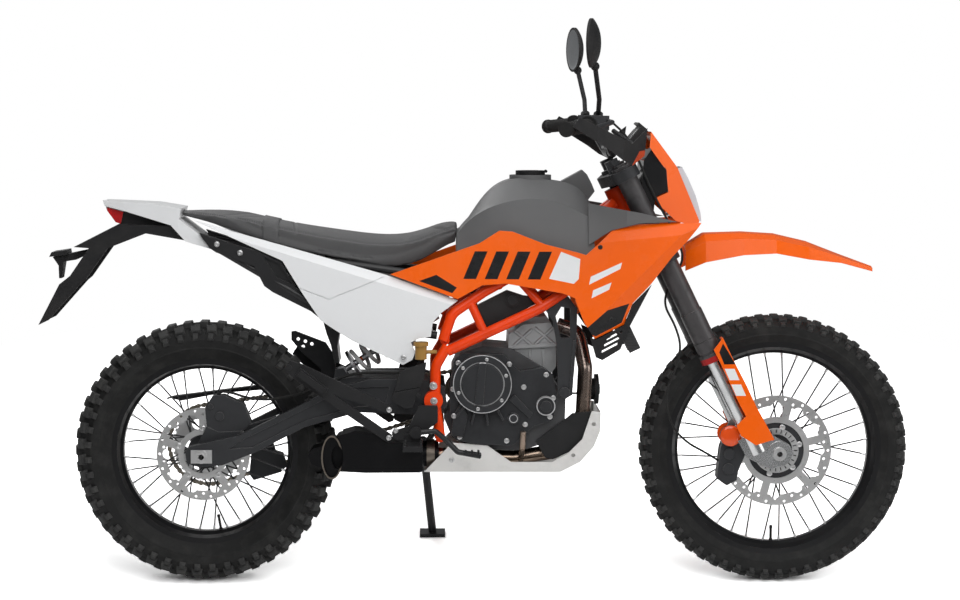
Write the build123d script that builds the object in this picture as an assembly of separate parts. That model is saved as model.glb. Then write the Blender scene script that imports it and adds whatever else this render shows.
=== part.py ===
from build123d import *
from math import atan2, cos, degrees, radians, sin, tan
import os

# A dual sport motorcycle, road-legal enduro style, standing as it parks: leaned on its side stand.
# It is modelled upright, in millimetres: X forward from the rear axle, Y to the rider's left and
# Z up from the ground. placed() then leans every piece about the line of the wheels onto the stand
# and moves the whole so that the origin is the bottom centre of its bounding box.
# Outlines in side view are (X, Z) pairs. Pieces that come in pairs are drawn on the left (+Y) and
# mirrored, unless a note says otherwise.

# ---- driving dimensions -------------------------------------------------------------------------
WHEELBASE = 1476
LEAN = 10.0  # towards the left, onto the stand
TYRE_DROP = 1.25  # the leaned tyres' round shoulders reach this far below the line they stand on upright
PARKED_SHIFT = (-700.0, -204.0, TYRE_DROP)  # moves the leaned machine's bottom centre to the origin

REAR_RADIUS, REAR_WIDTH = 340.5, 140  # 140/80-18, out to the tips of the lugs
FRONT_RADIUS, FRONT_WIDTH = 349.0, 94  # 90/90-21
REAR_BEAD, FRONT_BEAD = 234, 270  # where rubber meets rim
REAR_RIM_INNER, FRONT_RIM_INNER = 214, 247
REAR_RIM_WIDTH, FRONT_RIM_WIDTH = 72, 56
SPOKES = 36
SPOKE_RADIUS = 2.0

RAKE = 26.0
HEAD_POINT = (1221, 701)  # a point of the steering axis in side view
FORK_OFFSET = 29  # fork legs ahead of the steering axis
FORK_SPREAD = 105  # fork legs from the middle plane
FORK_TUBE, FORK_SLIDER = 27, 21.5  # radii
STEM_RADIUS = 14
RUNNING = 0.05  # radial clearance of a shaft that turns in its bore
AXLE_RADIUS, AXLE_BORE = 11, 7

PIVOT = (593, 489)  # swingarm pivot
FRAME_TUBE = 13.5
SWINGARM_INNER, SWINGARM_OUTER = 100, 126

REAR_AXLE = Pos(0, 0, REAR_RADIUS)
FRONT_AXLE = Pos(WHEELBASE, 0, FRONT_RADIUS)
MIDDLE = Plane.XZ
# Steering frame: x forward, z up along the raked axis, origin on that axis.
HEAD = Location(
    Plane(
        origin=(HEAD_POINT[0], 0, HEAD_POINT[1]),
        x_dir=(cos(radians(RAKE)), 0, sin(radians(RAKE))),
        z_dir=(-sin(radians(RAKE)), 0, cos(radians(RAKE))),
    )
)
BOTTOM = (Align.CENTER, Align.CENTER, Align.MIN)


# ---- ways of making shapes ----------------------------------------------------------------------
def pair(piece):
    """A piece drawn on the left and its mirror image on the right."""
    return [piece, mirror(piece, MIDDLE)]


def fused(pieces):
    """One fused shape of several pieces."""
    return Part() + list(pieces)


def rod(start, end, radius, bore=0):
    """A round bar, or a pipe, between two points."""
    start, end = Vector(*start), Vector(*end)
    along = end - start
    bar = Cylinder(radius, along.length, align=BOTTOM)
    if bore:
        bar -= Cylinder(bore, along.length, align=BOTTOM)
    return Location(Plane(origin=start, z_dir=along)) * bar


def tube(points, radius, bend):
    """A round tube along straight runs joined by tangent arcs."""
    path = FilletPolyline(*points, radius=bend)
    section = Plane(origin=path @ 0, z_dir=path % 0) * Circle(radius)
    return sweep(section, path=path)


def plate(outline, inner, outer, corners=0):
    """A plate with its outline in side view, between two distances from the middle plane."""
    points = [(x, inner, z) for x, z in outline]
    if corners:
        wire = FilletPolyline(*points, radius=corners, close=True)
    else:
        wire = Polyline(*points, close=True)
    return extrude(make_face(wire), amount=outer - inner, dir=(0, 1, 0))


def crossing(outline, bottom, top):
    """A block with its outline in plan (X, Y), between two heights."""
    face = make_face(Polyline(*[(x, y, bottom) for x, y in outline], close=True))
    return extrude(face, amount=top - bottom, dir=(0, 0, 1))


def disc(radius, inner, outer, bore=0):
    """A disc about a wheel's axis, between two distances from the middle plane."""
    sketch = Circle(radius)
    if bore:
        sketch -= Circle(bore)
    return extrude(Plane(origin=(0, inner, 0), z_dir=(0, 1, 0)) * sketch, amount=outer - inner)


def boss(x, z, radius, inner, outer, bore=0):
    """A disc across the machine at a place in side view."""
    return Pos(x, 0, z) * disc(radius, inner, outer, bore)


def skin(table, levels, thickness):
    """A sheet that curves in plan: for each level, rows (X, distance out), lofted between levels."""
    faces = []
    for level, rows in zip(levels, table):
        outer = [(x, y, level) for x, y in rows]
        inner = [(x, y - thickness, level) for x, y in reversed(rows)]
        faces.append(make_face(Polyline(*outer, *inner, close=True)))
    return loft(faces, ruled=True)


def facet(a, b, c):
    """Everything on the machine's side of a plane through three points of the left-hand side."""
    normal = (Vector(*b) - Vector(*a)).cross(Vector(*c) - Vector(*a))
    if normal.Y < 0:
        normal = normal * -1
    return Location(Plane(origin=a, z_dir=normal)) * Box(
        4000, 4000, 600, align=(Align.CENTER, Align.CENTER, Align.MAX)
    )


def sheet_of(block, thickness, direction=(0, -1, 0)):
    """The outer skin of a block: what is left when the block, moved inwards, is taken from it."""
    return block - Pos(*(thickness * d for d in direction)) * block


def cord(points, radius):
    """A held cord: an eight-sided tube along straight runs joined by arcs as large as the runs allow."""
    knots = [Vector(*p) for p in points]
    runs = [b - a for a, b in zip(knots, knots[1:])]
    radii = []
    for a, b in zip(runs, runs[1:]):
        radii.append(0.45 * min(a.length, b.length) / tan(radians(a.get_angle(b) / 2)))
    path = FilletPolyline(*points, radius=radii)
    return sweep(Plane(origin=path @ 0, z_dir=path % 0) * RegularPolygon(radius, 8), path=path)


# ---- wheels -------------------------------------------------------------------------------------
def crown_arc(half, drop):
    """Radius of a tyre's crown across its width, from half its width and its drop at the shoulders."""
    return (half * half + drop * drop) / (2 * drop)


def around(count, radius, start=0):
    """Places round a wheel's axis in the (X, Z) plane, with the angle of each."""
    turns = [radians(start + 360 / count * k) for k in range(count)]
    return [(radius * cos(turn), radius * sin(turn), turn) for turn in turns]


def carcass(radius, width, bead, bead_width, drop, wall):
    """A tyre without its lugs, about the Y axis, hollow and open towards its rim."""
    half, seat = width / 2, bead_width / 2
    arc = crown_arc(half, drop)
    belly = bead + 0.42 * (radius - bead)

    def section(inset, edge, foot):
        bends = [edge, 0.6 * edge, 0.2 * edge]
        crown = [
            (radius - arc + (arc - inset) * cos(radians(b)), (arc - inset) * sin(radians(b)))
            for b in bends
        ]
        left = [(foot, seat - inset), (belly, half * 0.95 - inset), *crown]
        return make_face(Polyline(*left, *[(x, -y) for x, y in reversed(left)], close=True))

    edge = degrees(atan2(half, arc - drop))
    return revolve(section(0, edge, bead) - section(wall, edge * 0.9, bead - 2), axis=Axis.Y)


def tyre(radius, width, bead, bead_width, drop, lug, pitches, rows):
    """A knobbly tyre: rows of (bend across the crown, length, width, lead) lugs on a thinner carcass."""
    arc = crown_arc(width / 2, drop)
    lugs = []
    for bend, length, across, lead in rows:
        block = Box(length, across, lug + 5, align=(Align.CENTER, Align.CENTER, Align.MAX))
        for side in (1, -1):
            seat = Pos(
                0, side * arc * sin(radians(bend)), radius - arc * (1 - cos(radians(bend)))
            ) * Rot(-side * bend, 0, 0)
            for k in range(pitches):
                turn = 360 * (k + lead + (0.5 if side < 0 else 0)) / pitches
                lugs.append(Rot(0, 180 + turn, 0) * seat * block)
    return carcass(radius - lug, width - 1.2 * lug, bead, bead_width, drop, 9) + lugs


def rim(bead, inner, width):
    """A wheel rim about the Y axis, with bead flanges and a well for the spoke nipples."""
    half = width / 2
    flange, wall = 13, 4
    outer = [(bead - 0.5, half), (bead + flange, half), (bead + flange, half + wall)]
    outer += [(bead - 6, half + wall), (inner + 8, half * 0.62), (inner, half * 0.34)]
    well = inner + wall
    floor = [(well, half * 0.2), (bead - 12, half * 0.55), (bead - 0.5, half - 6)]
    right = [(x, -y) for x, y in reversed(outer)]
    low = [(x, -y) for x, y in floor]
    face = make_face(Polyline(*outer, *right, *reversed(low), *floor, close=True))
    return revolve(face, axis=Axis.Y)


def spokes(flange_radius, flange_out, rim_radius, rim_out, sweep_angle):
    """Crossed wire spokes from two hub flanges to the rim, as separate six-sided rods."""
    rods = []
    for k in range(SPOKES):
        side = 1 if k % 2 else -1
        lead = sweep_angle if (k // 2) % 2 else -sweep_angle
        at_rim = radians(360 / SPOKES * (k + 0.5))
        at_hub = at_rim + radians(lead)
        start = Vector(flange_radius * cos(at_hub), side * flange_out, flange_radius * sin(at_hub))
        end = Vector(rim_radius * cos(at_rim), side * rim_out, rim_radius * sin(at_rim))
        section = Plane(origin=start, z_dir=end - start) * RegularPolygon(SPOKE_RADIUS, 6)
        rods.append(extrude(section, amount=(end - start).length))
    return rods


def hub(flange_radius, flange_out, half_length, barrel, bore, rim_radius, sweep_angle):
    """A hub with two spoke flanges, a waisted barrel, its bore, and the spokes that carry the rim."""
    waist = 0.8 * barrel
    flare, flange = flange_out - 10, flange_radius + 7
    profile = [(0, -half_length), (waist, -half_length), (waist, -flange_out - 6), (flange, -flange_out - 4)]
    profile += [(flange, -flange_out + 4), (barrel, -flare), (waist, 0)]
    profile += [(x, -y) for x, y in reversed(profile[:-1])]
    body = revolve(make_face(Polyline(*profile, close=True)), axis=Axis.Y)
    body = body + spokes(flange_radius, flange_out, rim_radius, 5, sweep_angle)
    return body - disc(bore, -half_length - 1, half_length + 1)


def brake_disc(radius, band, carrier, inner, outer, lobes):
    """A drilled brake rotor on a ring of lobes, with a wavy inner edge."""
    ring = disc(radius, inner, outer, radius - band)
    scallops = [boss(x, z, 13, inner - 1, outer + 1) for x, z, _ in around(2 * lobes, radius - band - 4)]
    ring -= scallops
    reach = radius - band - carrier + 8
    for x, z, turn in around(lobes, carrier + reach / 2 - 4, 90 / lobes):
        ring += Pos(x, (inner + outer) / 2, z) * Rot(0, -degrees(turn), 0) * Box(reach + 8, outer - inner, 20)
    ring += disc(carrier + 3, inner, outer, carrier - 12)
    holes = [boss(x, z, 3.5, inner - 1, outer + 1) for x, z, _ in around(18, radius - 8)]
    holes += [boss(x, z, 3.5, inner - 1, outer + 1) for x, z, _ in around(18, radius - 17, 10)]
    return ring - holes


def slotted_ring(radius, bore, inner, outer, slots):
    """A thin ring with radial slots, read by a wheel speed sensor."""
    ring = disc(radius, inner, outer, bore)
    middle = (radius + bore) / 2
    cuts = [
        Pos(x, (inner + outer) / 2, z) * Rot(0, -degrees(turn), 0) * Box(0.6 * (radius - bore), 20, 3)
        for x, z, turn in around(slots, middle)
    ]
    return ring - cuts


# ---- frame and suspension -----------------------------------------------------------------------
HEAD_TUBE_RADIUS, HEAD_TUBE_LOW, HEAD_TUBE_TOP = 31, 186, 362
FRAME_PATHS = (
    # bend radius, then points (X, Y, Z) of the left-hand tube
    (70, (628, 132, 612), (865, 138, 724), (1000, 112, 812), (1100, 30, 893)),
    (45, (617, 132, 640), (640, 128, 708), (720, 116, 762), (900, 100, 862), (1058, 30, 985)),
    (40, (610, 140, 392), (597, 140, 480), (598, 139, 575), (628, 132, 626)),
)
FRAME_BRACES = (
    # radius, one end, other end
    (11, (684, 121, 742), (722, 134, 660)),
    (11, (800, 108, 806), (868, 137, 730)),
    (10, (760, -112, 778), (760, 112, 778)),
    (12, (610, -140, 392), (610, 140, 392)),
    (12, (622, -131, 640), (622, 131, 640)),
    (13, (636, -129, 700), (636, 129, 700)),
)


def main_frame():
    """Tubular frame: head tube, two side rails each side, uprights and cross tubes."""
    head = HEAD * Pos(0, 0, HEAD_TUBE_LOW) * Cylinder(
        HEAD_TUBE_RADIUS, HEAD_TUBE_TOP - HEAD_TUBE_LOW, align=BOTTOM
    )
    pieces = [head]
    for bend, *points in FRAME_PATHS:
        left = tube(points, FRAME_TUBE, bend)
        pieces += pair(left)
    for radius, start, end in FRAME_BRACES:
        brace = rod(start, end, radius)
        pieces += [brace] if start[1] == -end[1] else pair(brace)
    pieces += pair(boss(*PIVOT, 24, SWINGARM_OUTER, 156) + boss(594, 528, 9, 150, 156))
    shock_lugs = ((600, 708), (604, 728), (622, 722), (640, 700), (628, 690))
    pieces += [plate(shock_lugs, y, y + 8) for y in (SHOCK_Y - 24, SHOCK_Y + 16)]
    stem = HEAD * Pos(0, 0, 100) * Cylinder(STEM_RADIUS + RUNNING, 300, align=BOTTOM)
    return fused(pieces) - stem


ENGINE_MOUNT = ((878, 716), (905, 740), (934, 752), (958, 722), (956, 636), (951, 563), (945, 500))
ENGINE_MOUNT += ((927, 489), (909, 500), (909, 563), (905, 634), (896, 690))
MOUNT_WINDOW = ((903, 702), (917, 726), (940, 722), (940, 647), (916, 647))


def engine_mounts():
    """Cast hangers from the frame rails down to the front of the engine, each with its window."""
    hanger = plate(ENGINE_MOUNT, 123, 131) - plate(MOUNT_WINDOW, 122, 132)
    rib = plate(((948, 640), (956, 640), (946, 500), (938, 500)), 131, 135)
    bolt = boss(927, 507, 13, 92, 137)
    return pair(fused([hanger, rib, bolt]) - NODES["main_frame"])


SUBFRAME_PATHS = (
    (60, (700, 100, 764), (560, 98, 806), (300, 92, 842), (20, 78, 885), (-60, 70, 915)),
    (50, (602, 104, 650), (470, 104, 668), (300, 98, 722), (130, 86, 820), (40, 78, 872)),
)
SUBFRAME_SIDE = (
    (-4, 911), (22, 873), (38, 862), (135, 827), (161, 776), (183, 760), (279, 712), (306, 690), (343, 663)
)
SUBFRAME_SIDE += ((242, 771), (204, 838), (156, 860))
SIDE_RECESS = ((160, 850), (196, 834), (233, 780), (194, 797))
SPLASH_GUARD = (
    (300, 716), (351, 696), (351, 650), (346, 617), (351, 574), (338, 574), (329, 620), (318, 650)
)


def subframe():
    """Rear frame that carries the seat and tail: tubes, cast side plates and a splash guard ahead of the tyre."""
    pieces = []
    for bend, *points in SUBFRAME_PATHS:
        pieces += pair(tube(points, 10, bend))
    for x, z, half in ((20, 885, 78), (300, 842, 92), (300, 722, 98)):
        pieces.append(rod((x, -half, z), (x, half, z), 9))
    pieces += pair(rod((300, 96, 722), (300, 92, 842), 8))
    side = plate(SUBFRAME_SIDE, 78, 100) - plate(SIDE_RECESS, 94, 101)
    side += [boss(x, z, 7, 99, 103) for x, z in ((41, 883), (100, 861))]
    pieces += pair(side)
    pieces.append(plate(SPLASH_GUARD, -62, 62))
    return fused(pieces) - NODES["main_frame"]


ARM_TOP = ((-42, 352), (-30, 366), (98, 395), (256, 474), (330, 512), (430, 540), (560, 541), (622, 520))
ARM_LOW = (
    (628, 470), (600, 447), (520, 450), (400, 455), (265, 417), (137, 351), (53, 318), (-10, 314),
    (-38, 322)
)
ARM_RECESS = (
    (70, 360), (110, 386), (256, 458), (330, 496), (400, 518), (480, 520), (470, 472), (400, 470),
    (262, 432), (130, 364)
)
BRIDGE = ((405, 470), (330, 508), (336, 534), (390, 542), (560, 540), (600, 510), (600, 460), (520, 455))
BRIDGE_HOLLOW = ((430, 480), (440, 516), (545, 518), (560, 500), (560, 475))
CHAIN_CLEAR = 78  # what lies inboard of the chain ends here
CHAIN_GUARD = (
    (218, 618), (218, 640), (228, 642), (309, 611), (334, 573), (336, 506), (300, 492), (296, 540),
    (245, 585)
)

CHAIN_BLADE = (
    (-111, 464), (-93, 470), (117, 497), (300, 522), (330, 508), (262, 474), (135, 484), (35, 476),
    (-75, 455)
)
BLADE_TOP = ((-111, 461), (-93, 467), (117, 494), (300, 519), (300, 522), (117, 497), (-93, 470), (-111, 464))
CHAIN_GUIDE = ((112, 322), (150, 332), (196, 318), (206, 284), (190, 268), (118, 246), (106, 262))
GUIDE_SLOT = ((90, 249), (220, 291), (220, 309), (90, 267))
GUIDE_HANGER = ((124, 318), (124, 356), (160, 372), (176, 322))


def swingarm():
    """Cast swingarm: two recessed arms joined ahead of the tyre, with the shock's lugs and the chain guard."""
    arm = plate(ARM_TOP + ARM_LOW, SWINGARM_INNER, SWINGARM_OUTER) - plate(
        ARM_RECESS, SWINGARM_OUTER - 4, SWINGARM_OUTER + 1
    )
    bridge = plate(BRIDGE, -SWINGARM_INNER, CHAIN_CLEAR)
    hollow = plate(BRIDGE_HOLLOW, -SWINGARM_INNER + 8, CHAIN_CLEAR - 8)
    left_root = plate(((520, 455), (520, 500), (600, 505), (600, 460)), CHAIN_CLEAR, SWINGARM_INNER)
    body = fused(pair(arm) + [bridge, left_root, boss(*PIVOT, 24, -SWINGARM_INNER, SWINGARM_INNER)]) - hollow
    lug = ((336, 532), (340, 556), (360, 560), (374, 540), (376, 532))
    body += [plate(lug, y, y + 8) for y in (SHOCK_Y - 24, SHOCK_Y + 16)]
    guard = plate(CHAIN_GUARD, SWINGARM_INNER - 3, SWINGARM_INNER + 1)
    guard -= [
        boss(x, z, 4.5, SWINGARM_INNER - 4, SWINGARM_INNER + 2)
        for x, z in ((236, 620), (255, 614), (272, 607), (249, 600))
    ]
    blade = plate(CHAIN_BLADE, 99, 102) + plate(BLADE_TOP, 80, 101)
    guide = plate(CHAIN_GUIDE, 76, 98) - plate(GUIDE_SLOT, 80, 96) + plate(GUIDE_HANGER, 96, 101)
    bore = boss(0, REAR_RADIUS, AXLE_RADIUS, -SWINGARM_OUTER - 1, SWINGARM_OUTER + 1)
    return body + guard + blade + guide - bore


SHOCK_Y = -28
SHOCK_LOW, SHOCK_TOP = (356, SHOCK_Y, 548), (612, SHOCK_Y, 716)
COIL_RADIUS, COIL_WIRE, COIL_PITCH = 31, 5.5, 30
COIL_START, COIL_END = 0.16, 0.76  # shares of the shock's length


def along(start, end, share):
    """A point between two points."""
    return tuple(a + (b - a) * share for a, b in zip(start, end))


def shock_absorber():
    """Damper body, rod, spring seats, reservoir and end eyes."""
    body = rod(along(SHOCK_LOW, SHOCK_TOP, 0.42), along(SHOCK_LOW, SHOCK_TOP, 0.94), 23)
    shaft = rod(SHOCK_LOW, SHOCK_TOP, 8)
    seat = rod(along(SHOCK_LOW, SHOCK_TOP, 0.11), along(SHOCK_LOW, SHOCK_TOP, 0.135), 38)
    collar = rod(along(SHOCK_LOW, SHOCK_TOP, 0.785), along(SHOCK_LOW, SHOCK_TOP, 0.84), 38)
    eyes = [Pos(*at) * Rot(90, 0, 0) * Cylinder(14, 31.4) for at in (SHOCK_LOW, SHOCK_TOP)]
    return fused([body, shaft, seat, collar] + eyes) - NODES["swingarm"] - NODES["main_frame"]


def shock_spring():
    """Coil spring round the damper."""
    start, end = Vector(
        *along(SHOCK_LOW, SHOCK_TOP, COIL_START)
    ), Vector(*along(SHOCK_LOW, SHOCK_TOP, COIL_END))
    height = (end - start).length
    coil = Helix(COIL_PITCH, height, COIL_RADIUS)
    wire = sweep(
        Plane(origin=coil @ 0, z_dir=coil % 0) * RegularPolygon(COIL_WIRE, 8), path=coil, is_frenet=True
    )
    return Location(Plane(origin=start, z_dir=end - start)) * wire


# ---- engine and exhaust -------------------------------------------------------------------------
CRANKCASE = ((640, 388), (618, 440), (640, 470), (640, 560), (662, 604), (720, 622), (790, 616))
CRANKCASE += ((884, 560), (932, 486), (930, 410), (902, 378), (820, 352), (700, 356))


def crankcase():
    """Engine block: the heavy middle of the machine, recessed on the left for the sprocket."""
    recess = plate(((600, 420), (600, 560), (716, 560), (716, 420)), CHAIN_CLEAR, 100)
    return plate(CRANKCASE, -92, 92, 14) - recess


CLUTCH_AT, CLUTCH_RADIUS = (717, 530), 75
PUMP_AT, FILLER_AT = (879, 473), (797, 440)
RIGHT_CASE = (
    (636, 438), (634, 520), (646, 588), (668, 606), (770, 604), (812, 560), (872, 570), (898, 550),
    (908, 488)
)
RIGHT_CASE += ((900, 434), (850, 420), (796, 370), (700, 372), (648, 384))
LEFT_CASE = ((718, 400), (718, 560), (760, 604), (850, 560), (890, 480), (880, 400), (800, 372))
SPROCKET_COVER = ((636, 452), (636, 532), (660, 552), (722, 552), (722, 430), (656, 430))
CASE_BOLTS = (
    (656, 582), (643, 515), (645, 447), (660, 392), (780, 382), (827, 424), (890, 444), (898, 492),
    (880, 552), (823, 520), (786, 579)
)


def engine_covers():
    """Clutch cover on the right; generator cover and sprocket cover on the left."""
    x, z = CLUTCH_AT
    right = plate(RIGHT_CASE, -122, -92, 14)
    right += Pos(x, 0, z) * (disc(CLUTCH_RADIUS, -150, -121) - disc(57, -151, -146) + disc(52, -152, -145))
    right += plate(((x - 20, z - 52), (x - 8, z + 56), (x + 10, z + 56), (x + 2, z - 52)), -157, -150)
    for turn in (-128, -105, -82, -60):
        rib = Box(34, 22, 5, align=(Align.MIN, Align.CENTER, Align.CENTER))
        right += Pos(x, -133, z) * Rot(0, -turn, 0) * Pos(CLUTCH_RADIUS - 2, 0, 0) * rib
    right += plate(((638, 398), (644, 446), (664, 484), (680, 446), (668, 392)), -136, -121)
    right += [
        boss(*PUMP_AT, 24, -142, -121), boss(*PUMP_AT, 14, -150, -142), boss(*FILLER_AT, 14, -134, -121)
    ]
    right += plate(((800, 500), (846, 452), (838, 440), (786, 488)), -130, -121)
    right += [boss(bx, bz, 5, -127, -121) for bx, bz in CASE_BOLTS]
    generator = plate(LEFT_CASE, 92, 114, 14)
    generator += [boss(800, 480, 66, 113, 130), boss(800, 480, 48, 130, 136)]
    sprocket = plate(SPROCKET_COVER, 99, 108, 12)
    for lift in (0, 22, 44):
        sprocket -= plate(
            ((652, 462 + lift), (652, 472 + lift), (700, 472 + lift), (700, 462 + lift)), 98, 109
        )
    return [right, generator + sprocket]


BARREL = ((790, 560), (784, 612), (908, 619), (908, 567), (890, 540), (850, 540))
HEAD_SIDE = ((784, 612), (786, 650), (822, 676), (892, 682), (914, 640), (908, 619))
CAM_COVER = ((800, 664), (806, 690), (882, 696), (900, 670))


def cylinder():
    """Water-cooled cylinder block above the crankcase, with its side ribs."""
    barrel = plate(BARREL, -72, 72, 6)
    for x in (806, 840, 874):
        barrel += pair(plate(((x, 556), (x - 3, 612), (x + 4, 613), (x + 7, 556)), 71, 77))
    return barrel - NODES["crankcase"]


def cylinder_head():
    """Cylinder head with crossed ribs on its sides, and its cam cover."""
    head = plate(HEAD_SIDE, -82, 82, 5)
    for start, end in (
        ((800, 622), (846, 664)), ((800, 660), (846, 622)), ((850, 622), (900, 668)),
        ((852, 668), (900, 628))
    ):
        head += pair(rod((start[0], 81, start[1]), (end[0], 81, end[1]), 4.5))
    head += pair(plate(((784, 614), (785, 622), (908, 628), (908, 620)), 81, 88))
    return head + plate(CAM_COVER, -66, 66, 5) - NODES["cylinder"] - NODES["crankcase"]


HEADER = (
    (915, 0, 668), (968, -10, 650), (985, -45, 560), (979, -52, 440), (915, -50, 345), (800, -50, 326),
    (606, -60, 336)
)
HEAT_SHIELD = (
    (856, 377), (936, 438), (948, 449), (1003, 455), (996, 430), (974, 381), (953, 354), (899, 330),
    (880, 334)
)


def exhaust_pipe():
    """Header pipe from the head, down ahead of the engine and back under it, with its heat shield."""
    pipe = tube(HEADER, 19, 42)
    pipe += [rod((818, -60, 322), (820, -140, 367), 7), rod((820, -138, 364), (821, -144, 408), 8)]
    shield = plate(HEAT_SHIELD, -98, -94) + [
        rod((x, -60, z), (x, -95, z), 6)
        for x, z in ((974, 420), (930, 362))
    ]
    return pipe + shield - NODES["cylinder_head"]


SILENCER = (
    (566, 306), (566, 376), (556, 383), (474, 383), (456, 404), (393, 412), (350, 400), (337, 380),
    (286, 366)
)
SILENCER += ((274, 350), (282, 328), (322, 310), (420, 305))
SILENCER_OUT, SILENCER_IN = -165, -60
OUTLET_AT = (335, 345)


def silencer():
    """Silencer low on the right, behind the engine, narrowed beside the tyre, with an oval outlet."""
    body = plate(SILENCER, SILENCER_OUT, SILENCER_IN, 8)
    beside_tyre = Pos(210, SILENCER_IN - 32, 250) * Box(150, 40, 200, align=(Align.MIN, Align.MIN, Align.MIN))
    inlet = rod((565, -68, 341), (606, -68, 341), 34)
    band = rod((576, -68, 341), (596, -68, 341), 37)
    oval = Pos(OUTLET_AT[0], 0, OUTLET_AT[1]) * extrude(
        Plane(origin=(0, -170, 0), z_dir=(0, 1, 0)) * Ellipse(56, 27), amount=40
    )
    rim_hole = Pos(OUTLET_AT[0], 0, OUTLET_AT[1]) * extrude(
        Plane(origin=(0, -171, 0), z_dir=(0, 1, 0)) * Ellipse(52, 23), amount=11
    )
    throat = Pos(OUTLET_AT[0] + 14, 0, OUTLET_AT[1]) * extrude(
        Plane(origin=(0, -171, 0), z_dir=(0, 1, 0)) * Ellipse(31, 15), amount=36
    )
    body = fused([body - beside_tyre, inlet, band, oval]) - rim_hole - throat
    return body - NODES["swingarm"] - NODES["exhaust_pipe"]


def radiators():
    """Two water radiators, one each side behind the shrouds: side tanks and a core of flat fins."""
    width, depth, height, fins = 74, 30, 176, 12
    core = Box(depth - 10, width, height)
    tanks = [Pos(0, s * (width / 2 - 6), 0) * Box(depth, 12, height) for s in (1, -1)]
    slats = [Pos(0, 0, (k - (fins - 1) / 2) * height / fins) * Box(depth - 2, width, 5) for k in range(fins)]
    core = HEAD * Pos(-142, 104, 62) * fused([core] + tanks + slats)
    return pair(core - NODES["main_frame"])


# ---- bodywork -----------------------------------------------------------------------------------
CAP_AT, CAP_RADIUS = (843, 0), 38
CAP_HINGE = (CAP_AT[0] + CAP_RADIUS + 2, 0, 1066)
TANK = (
    # X, top height and half width, crease height and half width, low height and half width
    (652, 916, 30, 906, 78, 852, 104),
    (700, 971, 30, 956, 94, 858, 120),
    (760, 1034, 40, 986, 116, 858, 132),
    (840, 1049, 48, 1000, 122, 858, 139),
    (920, 1040, 45, 986, 124, 856, 145),
    (1000, 975, 58, 948, 120, 856, 150),
)
FILLER_RING = 54
WING = ((985, 988), (1115, 965), (1206, 943), (1113, 939), (1042, 921), (985, 884))
WING_TABLE = (
    ((984, 150), (1080, 158), (1220, 166)),
    ((984, 118), (1080, 157), (1220, 164)),
)
IGNITION = ((923, 1041), (976, 1070), (988, 1058), (1000, 1035), (1008, 1015), (985, 985), (946, 990))


def tank_section(x, top, top_half, crease, crease_half, low, low_half):
    """Closed six-sided section of the tank at one station."""
    left = [(x, low_half, low), (x, crease_half, crease), (x, top_half, top)]
    return make_face(Polyline(*left, *[(x, -y, z) for x, y, z in reversed(left)], close=True))


def fuel_tank():
    """Fuel tank with its creased cover, the cover's wings beside the steering head, and the ignition housing."""
    block = loft([tank_section(*row) for row in TANK])
    block += Pos(830, 0, 870) * Box(300, 156, 60)
    block += Pos(*CAP_AT, 1040) * Cylinder(FILLER_RING, 17, align=BOTTOM)
    block -= Pos(*CAP_AT, 1036) * Cylinder(CAP_RADIUS + 4, 60, align=BOTTOM)
    wings = pair(skin(WING_TABLE, (880, 990), 8) & plate(WING, 90, 200))
    housing = plate(IGNITION, -25, 25)
    return fused([block, housing] + wings) - NODES["main_frame"]


def fuel_cap():
    """Hinged filler cap with its hinge knuckle."""
    x, _, z = CAP_HINGE
    knuckle = Pos(x, 0, z) * Rot(90, 0, 0) * Cylinder(4, 22)
    tab = Pos(x - 6, 0, z) * Box(12, 22, 4)
    lid = Pos(*CAP_AT, 1050) * Cylinder(CAP_RADIUS, 18, align=BOTTOM)
    return fused([lid, tab, knuckle]) - Pos(*CAP_AT, 1063) * Cylinder(22, 10, align=BOTTOM)


MAIN_FLANK = ((483, 130, 808), (1009, 190, 704), (1179, 186, 908))
UPPER_FLANK = ((1004, 171, 891), (1179, 186, 908), (1240, 165, 941))
FRONT_FLANK = ((1009, 190, 704), (1220, 189, 917), (1130, 166, 765))
SHROUD_FRONT = (
    (950, 868), (977, 860), (1042, 919), (1113, 937), (1266, 941), (1229, 894), (1193, 856), (1140, 786)
)
SHROUD_FRONT += ((1094, 737), (1074, 683), (1000, 648), (972, 690), (950, 745))
SHROUD_WING = (
    (483, 808), (709, 888), (759, 920), (792, 918), (876, 886), (960, 865), (960, 735), (948, 752),
    (916, 764)
)
SHROUD_WING += ((775, 787), (716, 782), (654, 747))
SHEET = 4.5


def tank_shrouds():
    """Side shrouds of the tank and radiators: folded flanks at the front, running back as a wing under the seat."""
    front = plate(SHROUD_FRONT, 90, 230) & facet(*MAIN_FLANK) & facet(*UPPER_FLANK) & facet(*FRONT_FLANK)
    wing = plate(SHROUD_WING, 90, 230) & facet(*MAIN_FLANK)
    return pair(sheet_of(front + wing, SHEET))


GUARD = (
    (1143, 784), (1094, 735), (1074, 681), (1002, 646), (988, 652), (1003, 601), (1020, 593), (1066, 620),
    (1086, 673)
)
GUARD_FLANK = ((1009, 190, 704), (1143, 168, 784), (1060, 160, 605))
GUARD_SLOTS = ((1018, 612), (1024, 628), (1030, 644))


def radiator_guards():
    """Lower louvres of the radiators, folded in below the shrouds."""
    block = plate(GUARD, 90, 230) & facet(*MAIN_FLANK) & facet(*GUARD_FLANK)
    guard = sheet_of(Pos(0, -SHEET - 1, 0) * block, SHEET)
    for x, z in GUARD_SLOTS:
        guard -= plate(((x, z), (x + 40, z + 20), (x + 40, z + 26), (x, z + 6)), 90, 230)
    return pair(guard)


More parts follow.
